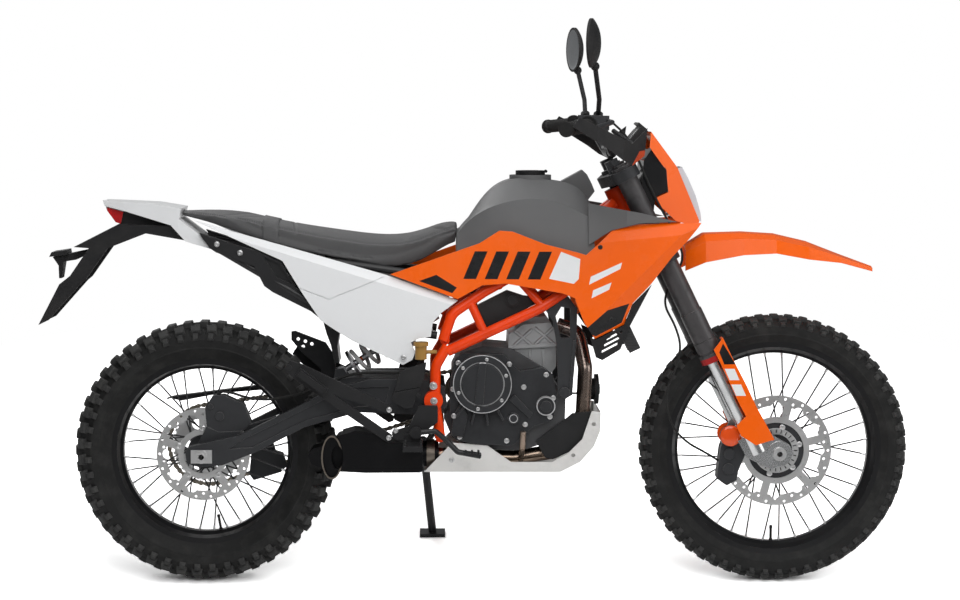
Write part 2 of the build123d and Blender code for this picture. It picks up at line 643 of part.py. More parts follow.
SEAT = (
    # X, crown height, shoulder height, low height, half width
    (-58, 968, 962, 952, 46),
    (0, 970, 958, 938, 68),
    (154, 948, 932, 888, 96),
    (300, 920, 902, 854, 108),
    (420, 904, 884, 830, 104),
    (520, 903, 884, 826, 92),
    (585, 920, 902, 850, 80),
    (656, 938, 922, 884, 60),
)


SEAT_TUCK = 14  # how far the sides lean in towards the bottom


def seat_section(x, crown, shoulder, low, half):
    """Closed section of the seat at one station, with an arched top and leaning sides."""
    top = ThreePointArc((x, half, shoulder), (x, 0, crown), (x, -half, shoulder))
    right = Line((x, -half, shoulder), (x, -half + SEAT_TUCK, low))
    bottom = Line((x, -half + SEAT_TUCK, low), (x, half - SEAT_TUCK, low))
    return make_face([top, right, bottom, Line((x, half - SEAT_TUCK, low), (x, half, shoulder))])


def seat():
    """One-piece seat, dished for the rider."""
    block = loft([seat_section(*row) for row in SEAT])
    return block - NODES["fuel_tank"] - NODES["subframe"] - NODES["main_frame"]


SIDE_PANEL = (
    (-18, 942), (250, 868), (472, 806), (655, 743), (613, 712), (591, 687), (586, 651), (556, 646),
    (536, 636)
)
SIDE_PANEL += ((547, 612), (539, 592), (515, 579), (389, 638), (341, 667), (305, 691), (255, 765), (208, 841))
PANEL_FLANK = ((480, 132, 806), (-18, 86, 942), (539, 148, 592))
PANEL_BEVEL = ((-18, 86.7, 928), (655, 149, 729), (300, 102, 856))
PANEL_SEAM = ((251, 770), (327, 742), (466, 799), (466, 802), (327, 745), (251, 773))


def side_panels():
    """White side panels under the seat, bevelled along the top, with a seam between upper and lower parts."""
    block = plate(SIDE_PANEL, 60, 200) & facet(*PANEL_FLANK) & facet(*PANEL_BEVEL)
    groove = plate(PANEL_SEAM, 60, 200) - Pos(0, -2, 0) * block
    bolt = boss(517, 598, 9, 100, 200) - Pos(0, 1.5, 0) * block & Pos(0, 3, 0) * block
    return pair(sheet_of(block, 4) - groove + bolt)


TAIL = (
    (-256, 992), (-121, 985), (-51, 973), (-57, 946), (-3, 905), (23, 870), (-41, 889), (-79, 930),
    (-197, 965), (-251, 978)
)
TAIL_PLAN = ((-256, 50), (-200, 64), (-60, 84), (30, 88))


def mirrored(plan):
    """A plan outline closed by its own mirror image."""
    return list(plan) + [(x, -y) for x, y in reversed(plan)]


def tail_cover():
    """White tail piece with a grab edge each side."""
    block = plate(TAIL, -90, 90) & crossing(mirrored(TAIL_PLAN), 860, 1000)
    return block - NODES["subframe"] - NODES["seat"] - fused(NODES["side_panels"])


CARRIER = (
    (-215, 932), (-80, 927), (-37, 889), (-145, 908), (-243, 870), (-300, 790), (-313, 779), (-397, 685),
    (-424, 672)
)
CARRIER += ((-369, 777), (-341, 799), (-292, 870), (-331, 873))
LAMP_HOUSE = ((-204, 964), (-80, 930), (-80, 920), (-215, 928), (-212, 934))
LIGHT_ARM = (
    (-391, 845), (-299, 864), (-292, 856), (-330, 838), (-362, 833), (-369, 790), (-375, 790), (-376, 823)
)


def plate_carrier():
    """Rear mudguard tail with its lamp housing, and the bracket that holds the number-plate light."""
    guard = plate(CARRIER, -62, 62) - Pos(5, 0, -6) * plate(CARRIER, -56, 56)
    house = plate(LAMP_HOUSE, -40, 40)
    arm = plate(LIGHT_ARM, -24, 24)
    light = plate(((-398, 846), (-392, 858), (-352, 864), (-350, 852)), -38, 38)
    return fused([guard, house, arm, light]) - NODES["subframe"] - NODES["tail_cover"]


def tail_lamp():
    """Red tail lamp, bowed in plan."""
    lamp = plate(((-253, 976), (-204, 963), (-211, 932), (-224, 936)), -46, 46)
    bow = Pos(-130, 0, 920) * Cylinder(124, 80, align=BOTTOM)
    return (lamp & bow) - NODES["tail_cover"] - NODES["plate_carrier"]


SKID_WALL = (
    (569, 299), (641, 375), (731, 368), (756, 350), (792, 325), (897, 325), (938, 348), (974, 384),
    (998, 457)
)
SKID_WALL += ((1021, 454), (1020, 405), (1004, 365), (969, 325), (918, 299))
SKID_FLOOR = ((569, 299), (918, 299), (969, 325), (1004, 365), (1020, 405), (1021, 454))


def skid_plate():
    """Bent sheet skid plate under the engine, its floor pressed with two ribs."""
    inner = [(x - 4 * (z > 310), z + 4 * (z < 340)) for x, z in reversed(SKID_FLOOR)]
    floor = plate(SKID_FLOOR + tuple(inner), -112, 112)
    ribs = pair(plate(((600, 296.5), (900, 296.5), (906, 300), (594, 300)), 30, 44))
    walls = pair(plate(SKID_WALL, 108, 112))
    holes = [boss(x, z, 5, -120, 120) for x, z in ((1003, 423), (951, 343))]
    return fused([floor] + walls + ribs) - holes


# ---- driveline and feet -------------------------------------------------------------------------
CHAIN_Y, CHAIN_HALF = 88, 6
REAR_SPROCKET, FRONT_SPROCKET = 98, 38  # radii at the tips of the teeth
FRONT_SPROCKET_AT = (662, 492)
CHAIN_GAP, CHAIN_HEIGHT = 2, 12
CHAIN_WAIST = 3  # how much lower the plates are between the pins
LINKS = 112


def chain_outline(grow):
    """Outline of the chain's path round both sprockets, grown outwards, in the (X, Z) plane."""
    rear = Pos(0, REAR_RADIUS) * Circle(REAR_SPROCKET + grow)
    front = Pos(*FRONT_SPROCKET_AT) * Circle(FRONT_SPROCKET + grow)
    return make_hull(rear.edges() + front.edges())


def drive_chain():
    """Chain as one closed loop of waisted links, with the engine's small sprocket inside it."""
    band = chain_outline(CHAIN_GAP + CHAIN_HEIGHT - CHAIN_WAIST) - chain_outline(CHAIN_GAP + CHAIN_WAIST)
    loop = Pos(0, CHAIN_Y + CHAIN_HALF, 0) * extrude(Plane.XZ * band, amount=2 * CHAIN_HALF)
    middle = chain_outline(CHAIN_GAP + CHAIN_HEIGHT / 2).wire()
    pin = extrude(
        Plane(origin=(0, CHAIN_Y - CHAIN_HALF, 0), z_dir=(0, 1, 0)) * RegularPolygon(CHAIN_HEIGHT / 2, 6),
        2 * CHAIN_HALF
    )
    pins = []
    for k in range(LINKS):
        at = middle @ (k / LINKS)
        pins.append(Pos(at.X, 0, at.Y) * pin)
    small = boss(*FRONT_SPROCKET_AT, FRONT_SPROCKET, CHAIN_Y - 3, CHAIN_Y + 3)
    shaft = boss(*FRONT_SPROCKET_AT, 14, CHAIN_CLEAR, CHAIN_Y + 8)
    return [loop + pins, small + shaft]


PEG_BRACKET = (
    (556, 478), (604, 478), (604, 436), (580, 418), (552, 392), (502, 390), (489, 397), (487, 412),
    (530, 424)
)
PASSENGER_ARM = (
    (216, 572), (230, 594), (262, 584), (484, 479), (490, 468), (484, 460), (340, 508), (488, 404),
    (486, 391), (474, 387), (240, 548)
)


def footpegs():
    """Rider's toothed pegs with their brackets, and the passenger's V-shaped brackets with pegs folded up."""
    bracket = plate(PEG_BRACKET, 157, 171, 5)
    peg = Pos(541, 212, 378) * Box(50, 74, 14)
    post = Pos(541, 176, 392) * Box(40, 10, 30)
    teeth = [Pos(541 + dx, 212 + dy, 387) * Box(6, 8, 10) for dx in (-20, 20) for dy in (-30, -15, 0, 15, 30)]
    folded = Pos(286, 190, 541) * Rot(0, 37, 0) * Box(88, 20, 22)
    pad = Pos(286, 203, 541) * Rot(0, 37, 0) * Box(78, 8, 16)
    arm = plate(PASSENGER_ARM, 171, 181)
    boltheads = [boss(x, z, 8, 180, 185) for x, z in ((481, 468), (480, 398), (227, 576))]
    return pair(fused([bracket, peg, post, folded, pad, arm] + teeth + boltheads))


PEDAL = ((548, -190, 412), (598, -190, 416), (629, -192, 389), (654, -198, 364), (712, -202, 354))


def foot_levers():
    """Brake pedal on the right, gear lever on the left."""
    arm = tube(PEDAL, 7, 12)
    pedal = arm + Pos(690, -206, 360) * Rot(0, 8, 0) * Box(46, 36, 8) + boss(548, 412, 15, -198, -182)
    pedal += [Pos(x, -206, 365) * Box(5, 36, 6) for x in (674, 690, 706)]
    gear = tube(((640, 150, 404), (690, 168, 396), (760, 176, 392)), 6, 20)
    gear += [Pos(760, 190, 392) * Rot(90, 0, 0) * Cylinder(9, 40), boss(640, 404, 13, 115, 158)]
    return [pedal, gear]


HEEL_GUARD = (
    (507, 561), (524, 571), (575, 588), (569, 548), (562, 534), (540, 474), (522, 470), (486, 490),
    (489, 503), (498, 524)
)


def heel_guards():
    """Grey guards inboard of the rider's heels, creased across the middle."""
    guard = plate(HEEL_GUARD, 157, 170) - plate(((480, 512), (580, 530), (580, 526), (480, 508)), 167, 171)
    return pair(guard + boss(555, 504, 6, 166, 173))


def fluid_reservoir():
    """Rear brake fluid reservoir on the right, on a bracket from the frame."""
    cup = Pos(561, -150, 594) * Cylinder(
        15, 34, align=BOTTOM
    ) + Pos(561, -150, 628) * Cylinder(19, 10, align=BOTTOM)
    return cup + rod(
        (561, -150, 612), (600, -140, 612), 5
    ) - NODES["main_frame"] - fused(NODES["side_panels"])


CANISTER = ((705, 728), (780, 766), (822, 752), (862, 748), (862, 738), (728, 664), (716, 668))
CANISTER_KNOB = (794, 742)


def canister():
    """Charcoal canister in the right-hand side of the frame, with its knob."""
    x, z = CANISTER_KNOB
    body = plate(CANISTER, -118, -88, 6) + boss(x, z, 17, -124, -117) + boss(x, z, 12, -128, -123)
    return body - NODES["main_frame"]


def horn():
    """Horn ahead of the engine, on a strip from the crankcase."""
    face = Pos(1017, 0, 500) * Rot(0, 90, 0)
    shell = face * (Cylinder(39, 10) + Pos(0, 0, -10) * Cylinder(28, 14) + Pos(0, 0, 6) * Cylinder(14, 6))
    return shell + Pos(966, 4, 488) * Box(90, 16, 3) - NODES["crankcase"]


CALIPER = ((7, 463), (27, 494), (56, 495), (107, 472), (126, 423), (104, 403), (42, 396), (11, 414))
CALIPER_CARRIER = ((-22, 350), (-12, 322), (14, 322), (60, 372), (104, 403), (42, 400), (11, 414))


def rear_caliper():
    """Rear brake caliper over the right arm, slotted for the disc, on a carrier round the axle."""
    block = plate(CALIPER, -99, -62, 6) + [boss(45, 441, 11, -104, -98), boss(22, 466, 7, -103, -98)]
    carrier = plate(CALIPER_CARRIER, -99.5, -94) - REAR_AXLE * disc(17, -101, -93)
    return block + carrier - REAR_AXLE * disc(126, -88, -74) - NODES["swingarm"]


REAR_HOSE = (
    (
        561, -150, 596
    ), (548, -142, 566), (505, -132, 556), (450, -118, 556), (396, -109, 554), (346, -103, 538),
    (302, -98, 516), (259, -95, 501), (214, -92, 490), (168, -90, 482), (118, -88, 486), (76, -86, 500),
    (44, -84, 504), (34, -82, 480),
)


def rear_brake_hose():
    """Rear brake hose from the reservoir along the right arm to the caliper."""
    return cord(REAR_HOSE, 3.5) - NODES["fluid_reservoir"] - NODES["rear_caliper"] - NODES["swingarm"]


def rear_axle():
    """Hollow rear axle with spacers, nut and chain adjusters."""
    bar = disc(AXLE_RADIUS, -SWINGARM_OUTER - 14, SWINGARM_OUTER + 14)
    spacers = pair(disc(17, 94, SWINGARM_INNER))
    nuts = pair(
        disc(17, SWINGARM_OUTER, SWINGARM_OUTER + 12) + Pos(0, SWINGARM_OUTER + 3, 0) * Box(54, 6, 34)
    )
    return REAR_AXLE * (fused([bar] + spacers + nuts) - disc(AXLE_BORE, -200, 200))


STAND_PIVOT = (566, 158, 330)
STAND_FOOT = (592, 318)  # X and Y of the foot's middle
STAND_TILT = 25  # the pivot's axis rises outwards
STAND_AXIS = Pos(*STAND_PIVOT) * Rot(-90 + STAND_TILT, 0, 0)
STAND_BOLT = 7


def side_stand():
    """Side stand, deployed, with its foot flat on the ground of the leaned machine."""
    ground = STAND_FOOT[1] * tan(radians(LEAN)) - TYRE_DROP
    pad = Pos(*STAND_FOOT, ground) * Rot(LEAN, 0, 0) * Box(70, 46, 10, align=BOTTOM)
    leg = rod(STAND_PIVOT, (*STAND_FOOT, ground + 8), 11)
    return fused([leg, pad, STAND_AXIS * Cylinder(17, 22)]) - STAND_AXIS * Cylinder(STAND_BOLT + RUNNING, 80)


def stand_bracket():
    """Lug and bolt that carry the side stand, on the frame's lower cross tube."""
    bolt = STAND_AXIS * (
        Pos(0, 0, -30) * Cylinder(STAND_BOLT, 50, align=BOTTOM) + Pos(0, 0, 20) * Cylinder(12, 6)
    )
    lug = STAND_AXIS * Pos(0, 0, -30) * Cylinder(17, 18, align=BOTTOM)
    return fused([bolt, lug, rod((566, 138, 321), (606, 112, 388), 8)]) - NODES["main_frame"]


# ---- steering -----------------------------------------------------------------------------------
CLAMP_TOP, CLAMP_LOW = 372, 138
CLAMP_LOBE, CLAMP_MIDDLE = 37, 34


def clamp(height, bottom):
    """A fork clamp in the steering frame: lobes round both legs, tied to the stem."""
    legs = [Pos(FORK_OFFSET, s * FORK_SPREAD) * Circle(CLAMP_LOBE) for s in (1, -1)]
    web = make_hull([edge for sketch in legs + [Circle(CLAMP_MIDDLE)] for edge in sketch.edges()])
    body = Pos(0, 0, bottom) * extrude(web, height)
    pockets = [Pos(12, s * 48, bottom + height) * Box(34, 36, 2 * height / 3) for s in (1, -1)]
    slits = [
        Pos(FORK_OFFSET - CLAMP_LOBE, s * FORK_SPREAD, bottom + height / 2) * Box(26, 4, height + 2)
        for s in (1, -1)
    ]
    return body - pockets - slits


def triple_clamps():
    """Steering stem with the upper and lower clamps."""
    stem = Pos(0, 0, CLAMP_LOW) * Cylinder(STEM_RADIUS, CLAMP_TOP - CLAMP_LOW + 34, align=BOTTOM)
    nut = Pos(0, 0, CLAMP_TOP + 28) * extrude(RegularPolygon(17, 6), 10)
    holes = [Pos(FORK_OFFSET, s * FORK_SPREAD, 100) * Cylinder(FORK_TUBE, 400, align=BOTTOM) for s in (1, -1)]
    risers = [Pos(14, s * 74, CLAMP_TOP + 26) * Box(34, 30, 34, align=BOTTOM) for s in (1, -1)]
    body = fused([clamp(40, CLAMP_LOW), clamp(28, CLAMP_TOP), stem, nut] + risers)
    return HEAD * (body - holes) - NODES["handlebar"]


TUBE_TOP, TUBE_LOW = 408, -142
FOOT_TOP = -345


def fork_tubes():
    """Upper outer tubes of the fork, ringed at their lower ends, with caps."""
    outer = Cylinder(FORK_TUBE, TUBE_TOP - TUBE_LOW, align=BOTTOM)
    outer = outer + Cylinder(
        FORK_TUBE + 5, 22, align=BOTTOM
    ) + Pos(0, 0, 30) * Cylinder(FORK_TUBE + 3, 28, align=BOTTOM)
    outer += Pos(0, 0, 60) * Cylinder(FORK_TUBE + 2, 80, align=BOTTOM)
    outer -= Cylinder(FORK_SLIDER + 0.3, 440, align=BOTTOM)
    outer += Pos(0, 0, TUBE_TOP - TUBE_LOW) * extrude(RegularPolygon(18, 6), 5)
    return [HEAD * Pos(FORK_OFFSET, s * FORK_SPREAD, TUBE_LOW) * outer for s in (1, -1)]


def fork_sliders():
    """Lower sliders with the cast axle clamps at their ends."""
    bar = Pos(FORK_OFFSET, FORK_SPREAD, FOOT_TOP - 20) * Cylinder(FORK_SLIDER, 460, align=BOTTOM)
    foot = Pos(FORK_OFFSET, FORK_SPREAD, FOOT_TOP - 60) * Cylinder(27, 66, align=BOTTOM)
    outline = (
        (-6, -352), (58, -352), (86, -388), (108, -420), (108, -444), (84, -458), (40, -456), (14, -424),
        (-4, -400)
    )
    web = plate(outline, FORK_SPREAD - 18, FORK_SPREAD + 22)
    leg = HEAD * fused([bar, foot, web]) + FRONT_AXLE * disc(32, 80, 130)
    return pair(leg - FRONT_AXLE * disc(AXLE_RADIUS, 0, 200))


GUARD_SIDE = (
    (1327, 648), (1304, 617), (1323, 580), (1371, 478), (1388, 447), (1364, 423), (1376, 397), (1414, 373)
)
GUARD_SIDE += ((1461, 388), (1413, 474), (1387, 529), (1359, 582))
GUARD_NOSE = (
    (1327, 648), (1359, 582), (1387, 529), (1413, 474), (1461, 388), (1455, 385), (1407, 470), (1353, 580),
    (1322, 645)
)
GUARD_STRAP = ((1364, 423), (1376, 397), (1414, 373), (1461, 388), (1425, 452), (1388, 447))
GUARD_FOLD = 12


def fork_guards():
    """Orange guards ahead of the sliders, folded round the front of the leg."""
    guard = plate(GUARD_SIDE, 137, 142)
    hollow = Pos(-GUARD_FOLD / 2, 0, 0) * plate(GUARD_SIDE, 109, 140)
    nose = plate(GUARD_NOSE, 110, 142)
    strap = plate(GUARD_STRAP, 126, 138)
    return pair(
        fused([guard, nose, strap - hollow]) - fused(NODES["fork_sliders"]) - fused(NODES["fork_tubes"])
    )


def front_axle():
    """Hollow front axle with its spacers."""
    bar = disc(AXLE_RADIUS, -134, 134)
    spacers = pair(disc(17, 74, 80))
    nuts = pair(disc(17, 130, 138))
    return FRONT_AXLE * (fused([bar] + spacers + nuts) - disc(AXLE_BORE, -200, 200))


BAR_PATH = ((1049, 0, 1112), (1046, 110, 1116), (1008, 205, 1190), (913, 400, 1178))


def handlebar():
    """Tapered handlebar, thick where it is clamped."""
    path = [(x, -y, z) for x, y, z in reversed(BAR_PATH[1:])] + list(BAR_PATH[1:])
    thick = rod(
        (BAR_PATH[0][0] - 2, -66, BAR_PATH[0][2] + 3), (BAR_PATH[0][0] - 2, 66, BAR_PATH[0][2] + 3), 14
    )
    return tube(path, 11, 50) + thick


def grips():
    """Rubber grips on the ends of the bar, with their flanges."""
    inner, outer = along(BAR_PATH[2], BAR_PATH[3], 0.36), along(BAR_PATH[2], BAR_PATH[3], 1.04)
    grip = rod(inner, outer, 16.5) + rod(
        inner, along(inner, outer, 0.04), 24
    ) + rod(along(inner, outer, 0.96), outer, 19)
    return pair(grip - NODES["handlebar"])


HAND_GUARD = (
    (925, 1184), (941, 1206), (1010, 1173), (1073, 1143), (1116, 1180), (1108, 1112), (1075, 1090),
    (1050, 1102), (1018, 1126), (942, 1174)
)
HAND_GUARD_TABLE = (
    ((915, 424), (985, 430), (1050, 396), (1121, 290)),
    ((915, 424), (985, 430), (1050, 396), (1121, 290)),
)


def hand_guards():
    """Plastic hand guards ahead of the grips, each on an arm from the bar."""
    shield = skin(HAND_GUARD_TABLE, (1080, 1230), 5) & plate(HAND_GUARD, 100, 440)
    spine = tube(
        ((926, 404, 1190), (1000, 400, 1166), (1060, 350, 1136), (1084, 290, 1138), (1040, 206, 1172)), 6,
        14
    )
    return pair(shield + spine - NODES["handlebar"] - fused(NODES["grips"]))


def hand_levers():
    """Brake and clutch levers with their perches."""
    perch = Pos(1004, 232, 1192) * Box(44, 40, 36)
    blade = tube(((1024, 250, 1196), (1030, 300, 1194), (984, 400, 1182)), 6, 20)
    return pair(
        fused([perch, blade]) - NODES["handlebar"] - fused(NODES["grips"]) - fused(NODES["hand_guards"])
    )


MIRROR_STEM = ((1000, 225, 1206), (1000, 262, 1250), (985, 318, 1330))


def mirrors():
    """Round mirrors on stems, their backs domed."""
    stem = tube(MIRROR_STEM, 6, 20) + rod(MIRROR_STEM[0], (1000, 232, 1214), 12)
    dome = make_face([
        Line((0, 0), (60, 0)), Line((60, 0), (60, 6)), ThreePointArc((60, 6), (40, 18), (0, 24)),
        Line((0, 24), (0, 0))
    ])
    head = Pos(972, 330, 1386) * Rot(0, 0, 14) * Rot(0, 0, -90) * revolve(dome, axis=Axis.Y)
    ball = Pos(985, 318, 1330) * Sphere(11)
    return pair(fused([stem, head, ball]) - fused(NODES["hand_levers"]) - NODES["handlebar"])


MASK = (
    (1145, 1169), (1216, 1077), (1275, 941), (1273, 925), (1211, 941), (1161, 988), (1161, 1003),
    (1191, 1015), (1185, 1071), (1141, 1129)
)
MASK_FLANK = ((1275, 46, 941), (1217, 64, 1074), (1161, 104, 1000))
HOUSING = ((1128, 1096), (1152, 1132), (1186, 1071), (1190, 1018), (1158, 1004), (1153, 953), (1124, 1034))
LENS = ((1186, 1064), (1230, 1078), (1246, 1049), (1266, 1005), (1279, 962), (1282, 938), (1200, 950))


def headlamp():
    """Headlamp lens, and the black housing behind it."""
    lens = plate(LENS, 0, 52) & facet((1282, 34, 938), (1230, 46, 1078), (1200, 56, 1000))
    housing = plate(HOUSING, -84, 84, 4)
    return fused(pair(lens)) + housing


def headlamp_mask():
    """Headlamp mask: a shell with the lens let into it."""
    left = plate(MASK, 0, 108) & facet(*MASK_FLANK)
    block = fused(pair(left))
    return block - Pos(-8, 0, -2) * block - NODES["headlamp"]


def dash_display():
    """Small display ahead of the handlebar, with its visor."""
    case = Box(70, 120, 22) + Pos(34, 0, 8) * Box(6, 120, 26)
    return Pos(1110, 0, 1150) * Rot(0, -50, 0) * case - fused([NODES["headlamp"]]) - NODES["headlamp_mask"]


FENDER = (
    # X, crown height, edge height, half width
    (1240, 878, 812, 56),
    (1290, 908, 835, 74),
    (1386, 911, 854, 82),
    (1470, 906, 858, 80),
    (1555, 886, 842, 70),
    (1640, 853, 832, 52),
    (1727, 821, 808, 18),
)
FENDER_THICK = 4


def fender_section(x, top, edge, half, inset):
    """Closed section of the fender at one station, arched between its edges."""
    top, half = top - inset, half - inset
    knee = edge + 0.72 * (top - edge)
    rim_line = [(x, -half, edge), (x, -0.9 * half, knee), (x, -0.45 * half, top - 3), (x, 0, top)]
    return rim_line + [(x, -y, z) for x, y, z in reversed(rim_line[:3])]


def front_fender():
    """High front fender, a ridged shell."""
    solids = []
    for inset in (0, FENDER_THICK):
        faces = [make_face(Polyline(*fender_section(*row, inset), close=True)) for row in FENDER]
        solids.append(loft(faces, ruled=True))
    return solids[0] - solids[1]


FRONT_CALIPER = (
    (1321, 280), (1346, 262), (1372, 276), (1376, 300), (1392, 340), (1388, 392), (1346, 400), (1330, 360)
)


def front_caliper():
    """Front brake caliper with a slot for the disc, behind the right slider, and its round reflector."""
    block = plate(FRONT_CALIPER, -98, -52, 6) + [
        boss(x, z, 14, -104, -97)
        for x, z in ((1352, 345), (1350, 306))
    ]
    reflector = boss(1353, 393, 27, -112, -104) + boss(1360, 392, 8, -105, -97)
    return block + reflector - FRONT_AXLE * disc(149, -74, -60) - fused(NODES["fork_sliders"])


FRONT_HOSE = (
    # in the steering frame
    (40, -212, 541), (42, -176, 543), (54, -148, 522), (74, -132, 474), (76, -119, 410), (72, -114, 340),
    (74, -113, 262), (80, -108, 190), (74, -84, 126), (40, -62, 96), (0, -72, 70), (-24, -100, 40),
    (-22, -114, -18), (-30, -114, -68), (-62, -112, -112), (-112, -112, -155), (-133, -112, -200),
    (-140, -112, -255), (-122, -110, -305), (-93, -106, -345), (-68, -80, -388),
)


def front_brake_hose():
    """Front brake hose from the lever, down by the right fork leg to the caliper."""
    return HEAD * cord(FRONT_HOSE, 3) - fused(NODES["hand_levers"]) - NODES["front_caliper"]


# ---- wheels in place ----------------------------------------------------------------------------
FRONT_LUGS = ((LEAN, 23, 17, 0), (32, 24, 18, 0.5))
REAR_LUGS = ((LEAN, 27, 25, 0), (37, 30, 28, 0.5))


def front_tyre():
    """Front tyre; its inner rows of lugs lie as the leaned machine stands, flat on the ground."""
    knobbly = tyre(FRONT_RADIUS, FRONT_WIDTH, FRONT_BEAD, FRONT_RIM_WIDTH, 20, 9, 40, FRONT_LUGS)
    return FRONT_AXLE * knobbly - NODES["front_rim"]


def front_rim():
    """Front rim."""
    return FRONT_AXLE * rim(FRONT_BEAD, FRONT_RIM_INNER, FRONT_RIM_WIDTH)


DISC_FLANGE, FLANGE_SIDES = 84, 8


def disc_flange(inner, outer, barrel):
    """The eight-sided flange of a hub that carries its brake disc."""
    edge = Plane(origin=(0, inner, 0), z_dir=(0, 1, 0)) * (
        RegularPolygon(DISC_FLANGE, FLANGE_SIDES) - Circle(barrel - 4)
    )
    return extrude(edge, amount=outer - inner)


def front_hub():
    """Front hub with its brake flange and its spokes."""
    body = hub(34, 30, 73, 28, AXLE_RADIUS + RUNNING, FRONT_RIM_INNER + 3, 46)
    body += disc_flange(-65, -57, 28) + disc(40, -57, -30, 24)
    return FRONT_AXLE * body


def front_disc():
    """Front brake disc, and the slotted ring beside it."""
    rotor = brake_disc(142.5, 26, DISC_FLANGE, -69, -65, 6)
    return FRONT_AXLE * (rotor + slotted_ring(58, 42, -72, -65, 24))


def rear_tyre():
    """Rear tyre."""
    return REAR_AXLE * tyre(
        REAR_RADIUS, REAR_WIDTH, REAR_BEAD, REAR_RIM_WIDTH, 34, 12, 36, REAR_LUGS
    ) - NODES["rear_rim"]


def rear_rim():
    """Rear rim."""
    return REAR_AXLE * rim(REAR_BEAD, REAR_RIM_INNER, REAR_RIM_WIDTH)


def rear_hub():
    """Rear hub and its spokes."""
    return REAR_AXLE * hub(38, 34, 93, 32, AXLE_RADIUS + RUNNING, REAR_RIM_INNER + 3, 46)


def rear_disc():
    """Rear brake disc."""
    return REAR_AXLE * brake_disc(120, 24, 62, -83, -79, 5)


TEETH, ROLLER = 38, 5


def rear_sprocket():
    """Rear sprocket with its teeth and lightening holes."""
    body = disc(REAR_SPROCKET, CHAIN_Y - 3, CHAIN_Y + 3, 29)
    gaps = [boss(x, z, ROLLER, CHAIN_Y - 4, CHAIN_Y + 4) for x, z, _ in around(TEETH, REAR_SPROCKET)]
    holes = [boss(x, z, 14, CHAIN_Y - 4, CHAIN_Y + 4) for x, z, _ in around(6, 62)]
    return REAR_AXLE * (body - gaps - holes)


# ---- assembly -----------------------------------------------------------------------------------
BODIES = {
    "chassis": (
        main_frame, engine_mounts, subframe, crankcase, engine_covers, cylinder, cylinder_head, exhaust_pipe, swingarm, silencer,
        shock_absorber, shock_spring, radiators, fuel_tank, tank_shrouds, radiator_guards, seat, side_panels,
        tail_cover, plate_carrier, tail_lamp, skid_plate, drive_chain, footpegs, foot_levers, heel_guards,
        fluid_reservoir, canister, horn, rear_caliper, rear_axle, rear_brake_hose, stand_bracket,
    ),
    "fuel_cap": (fuel_cap,),
    "side_stand": (side_stand,),
    "steering": (
        handlebar, triple_clamps, fork_tubes, fork_sliders, fork_guards, front_axle, grips, hand_guards, hand_levers,
        mirrors, headlamp, headlamp_mask, dash_display, front_fender, front_caliper,
        front_brake_hose,
    ),
    "front_wheel": (front_rim, front_tyre, front_hub, front_disc),
    "rear_wheel": (rear_rim, rear_tyre, rear_hub, rear_disc, rear_sprocket),
}
PARKED = Pos(*PARKED_SHIFT) * Rot(-LEAN, 0, 0)
NODES = {}


def build():
    """Builds every node upright; later pieces are cut to seat on earlier ones."""
    for makers in BODIES.values():
        for maker in makers:
            NODES[maker.__name__] = maker()


def write():
    """Leans the machine onto its stand and writes one STEP file for each node."""
    os.makedirs("parts", exist_ok=True)
    for name, made in NODES.items():
        pieces = made if isinstance(made, list) else [made]
        solids = [solid for piece in pieces for solid in piece.solids()]
        export_step(Compound([PARKED * solid for solid in solids]), f"parts/{name}.step")


build()
write()
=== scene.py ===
# %% [markdown]
# # A dual sport motorcycle, dressed in Blender
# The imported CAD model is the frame: every named node arrives at its real size and place, in metres.
# This lesson adds what CAD leaves out: a camera and soft light, a finish for every node, a painted
# pattern on the shrouds, knobbly tyres, a padded and stitched seat, bolts, nipples and chain plates.

import bpy
import bmesh
from math import atan2, cos, hypot, pi, radians, sin, sqrt
from mathutils import Matrix, Vector
from mathutils.bvhtree import BVHTree


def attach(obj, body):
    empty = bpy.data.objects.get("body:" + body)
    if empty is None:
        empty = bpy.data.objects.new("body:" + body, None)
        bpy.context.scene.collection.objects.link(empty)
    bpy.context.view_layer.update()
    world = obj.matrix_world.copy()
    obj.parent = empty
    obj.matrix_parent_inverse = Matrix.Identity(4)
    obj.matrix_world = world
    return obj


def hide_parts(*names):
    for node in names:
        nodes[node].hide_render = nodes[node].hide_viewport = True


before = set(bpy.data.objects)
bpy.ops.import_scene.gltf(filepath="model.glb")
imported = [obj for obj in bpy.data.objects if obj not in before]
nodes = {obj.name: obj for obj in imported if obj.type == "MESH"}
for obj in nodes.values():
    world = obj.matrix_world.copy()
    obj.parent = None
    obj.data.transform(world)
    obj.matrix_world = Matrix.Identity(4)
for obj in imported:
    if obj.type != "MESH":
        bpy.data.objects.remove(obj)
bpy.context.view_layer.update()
bpy.ops.object.select_all(action="DESELECT")

# %% [markdown]
# The machine is drawn upright, in millimetres, with X forward from the rear axle, and parked by one
# matrix: leaned ten degrees onto its stand, then moved so that the origin is under its middle. Every
# new piece is made upright, where its sizes are easy to read, and the matrix goes into its mesh.

# %% Upright and parked
MM = 0.001
LEAN = radians(10)
SHIFT = Vector((-0.7, -0.204, 0.00125))
PARKED = Matrix.Translation(SHIFT) @ Matrix.Rotation(-LEAN, 4, "X")
STEER_AT, RAKE = Vector((1.221, 0, 0.701)), radians(26)
FRONT_AXLE, REAR_AXLE = Vector((1.476, 0, 0.349)), Vector((0, 0, 0.3405))


def mm(*place):
    """A place given in millimetres, as a vector in metres."""
    return Vector([c * MM for c in place])


# %% [markdown]
# ## Camera
# A long lens far from the machine's right-hand side keeps the outline almost free of perspective. The
# camera is set in the upright frame and parked with the same matrix, so the machine stands straight
# in the picture.

# %% Camera
LENS, SENSOR, SHIFT_X = 85.14, 36, 0.0693
YAW, PITCH, DISTANCE = radians(-0.31), radians(4.88), 5.895
TARGET = mm(541.3, 0, 731.9)

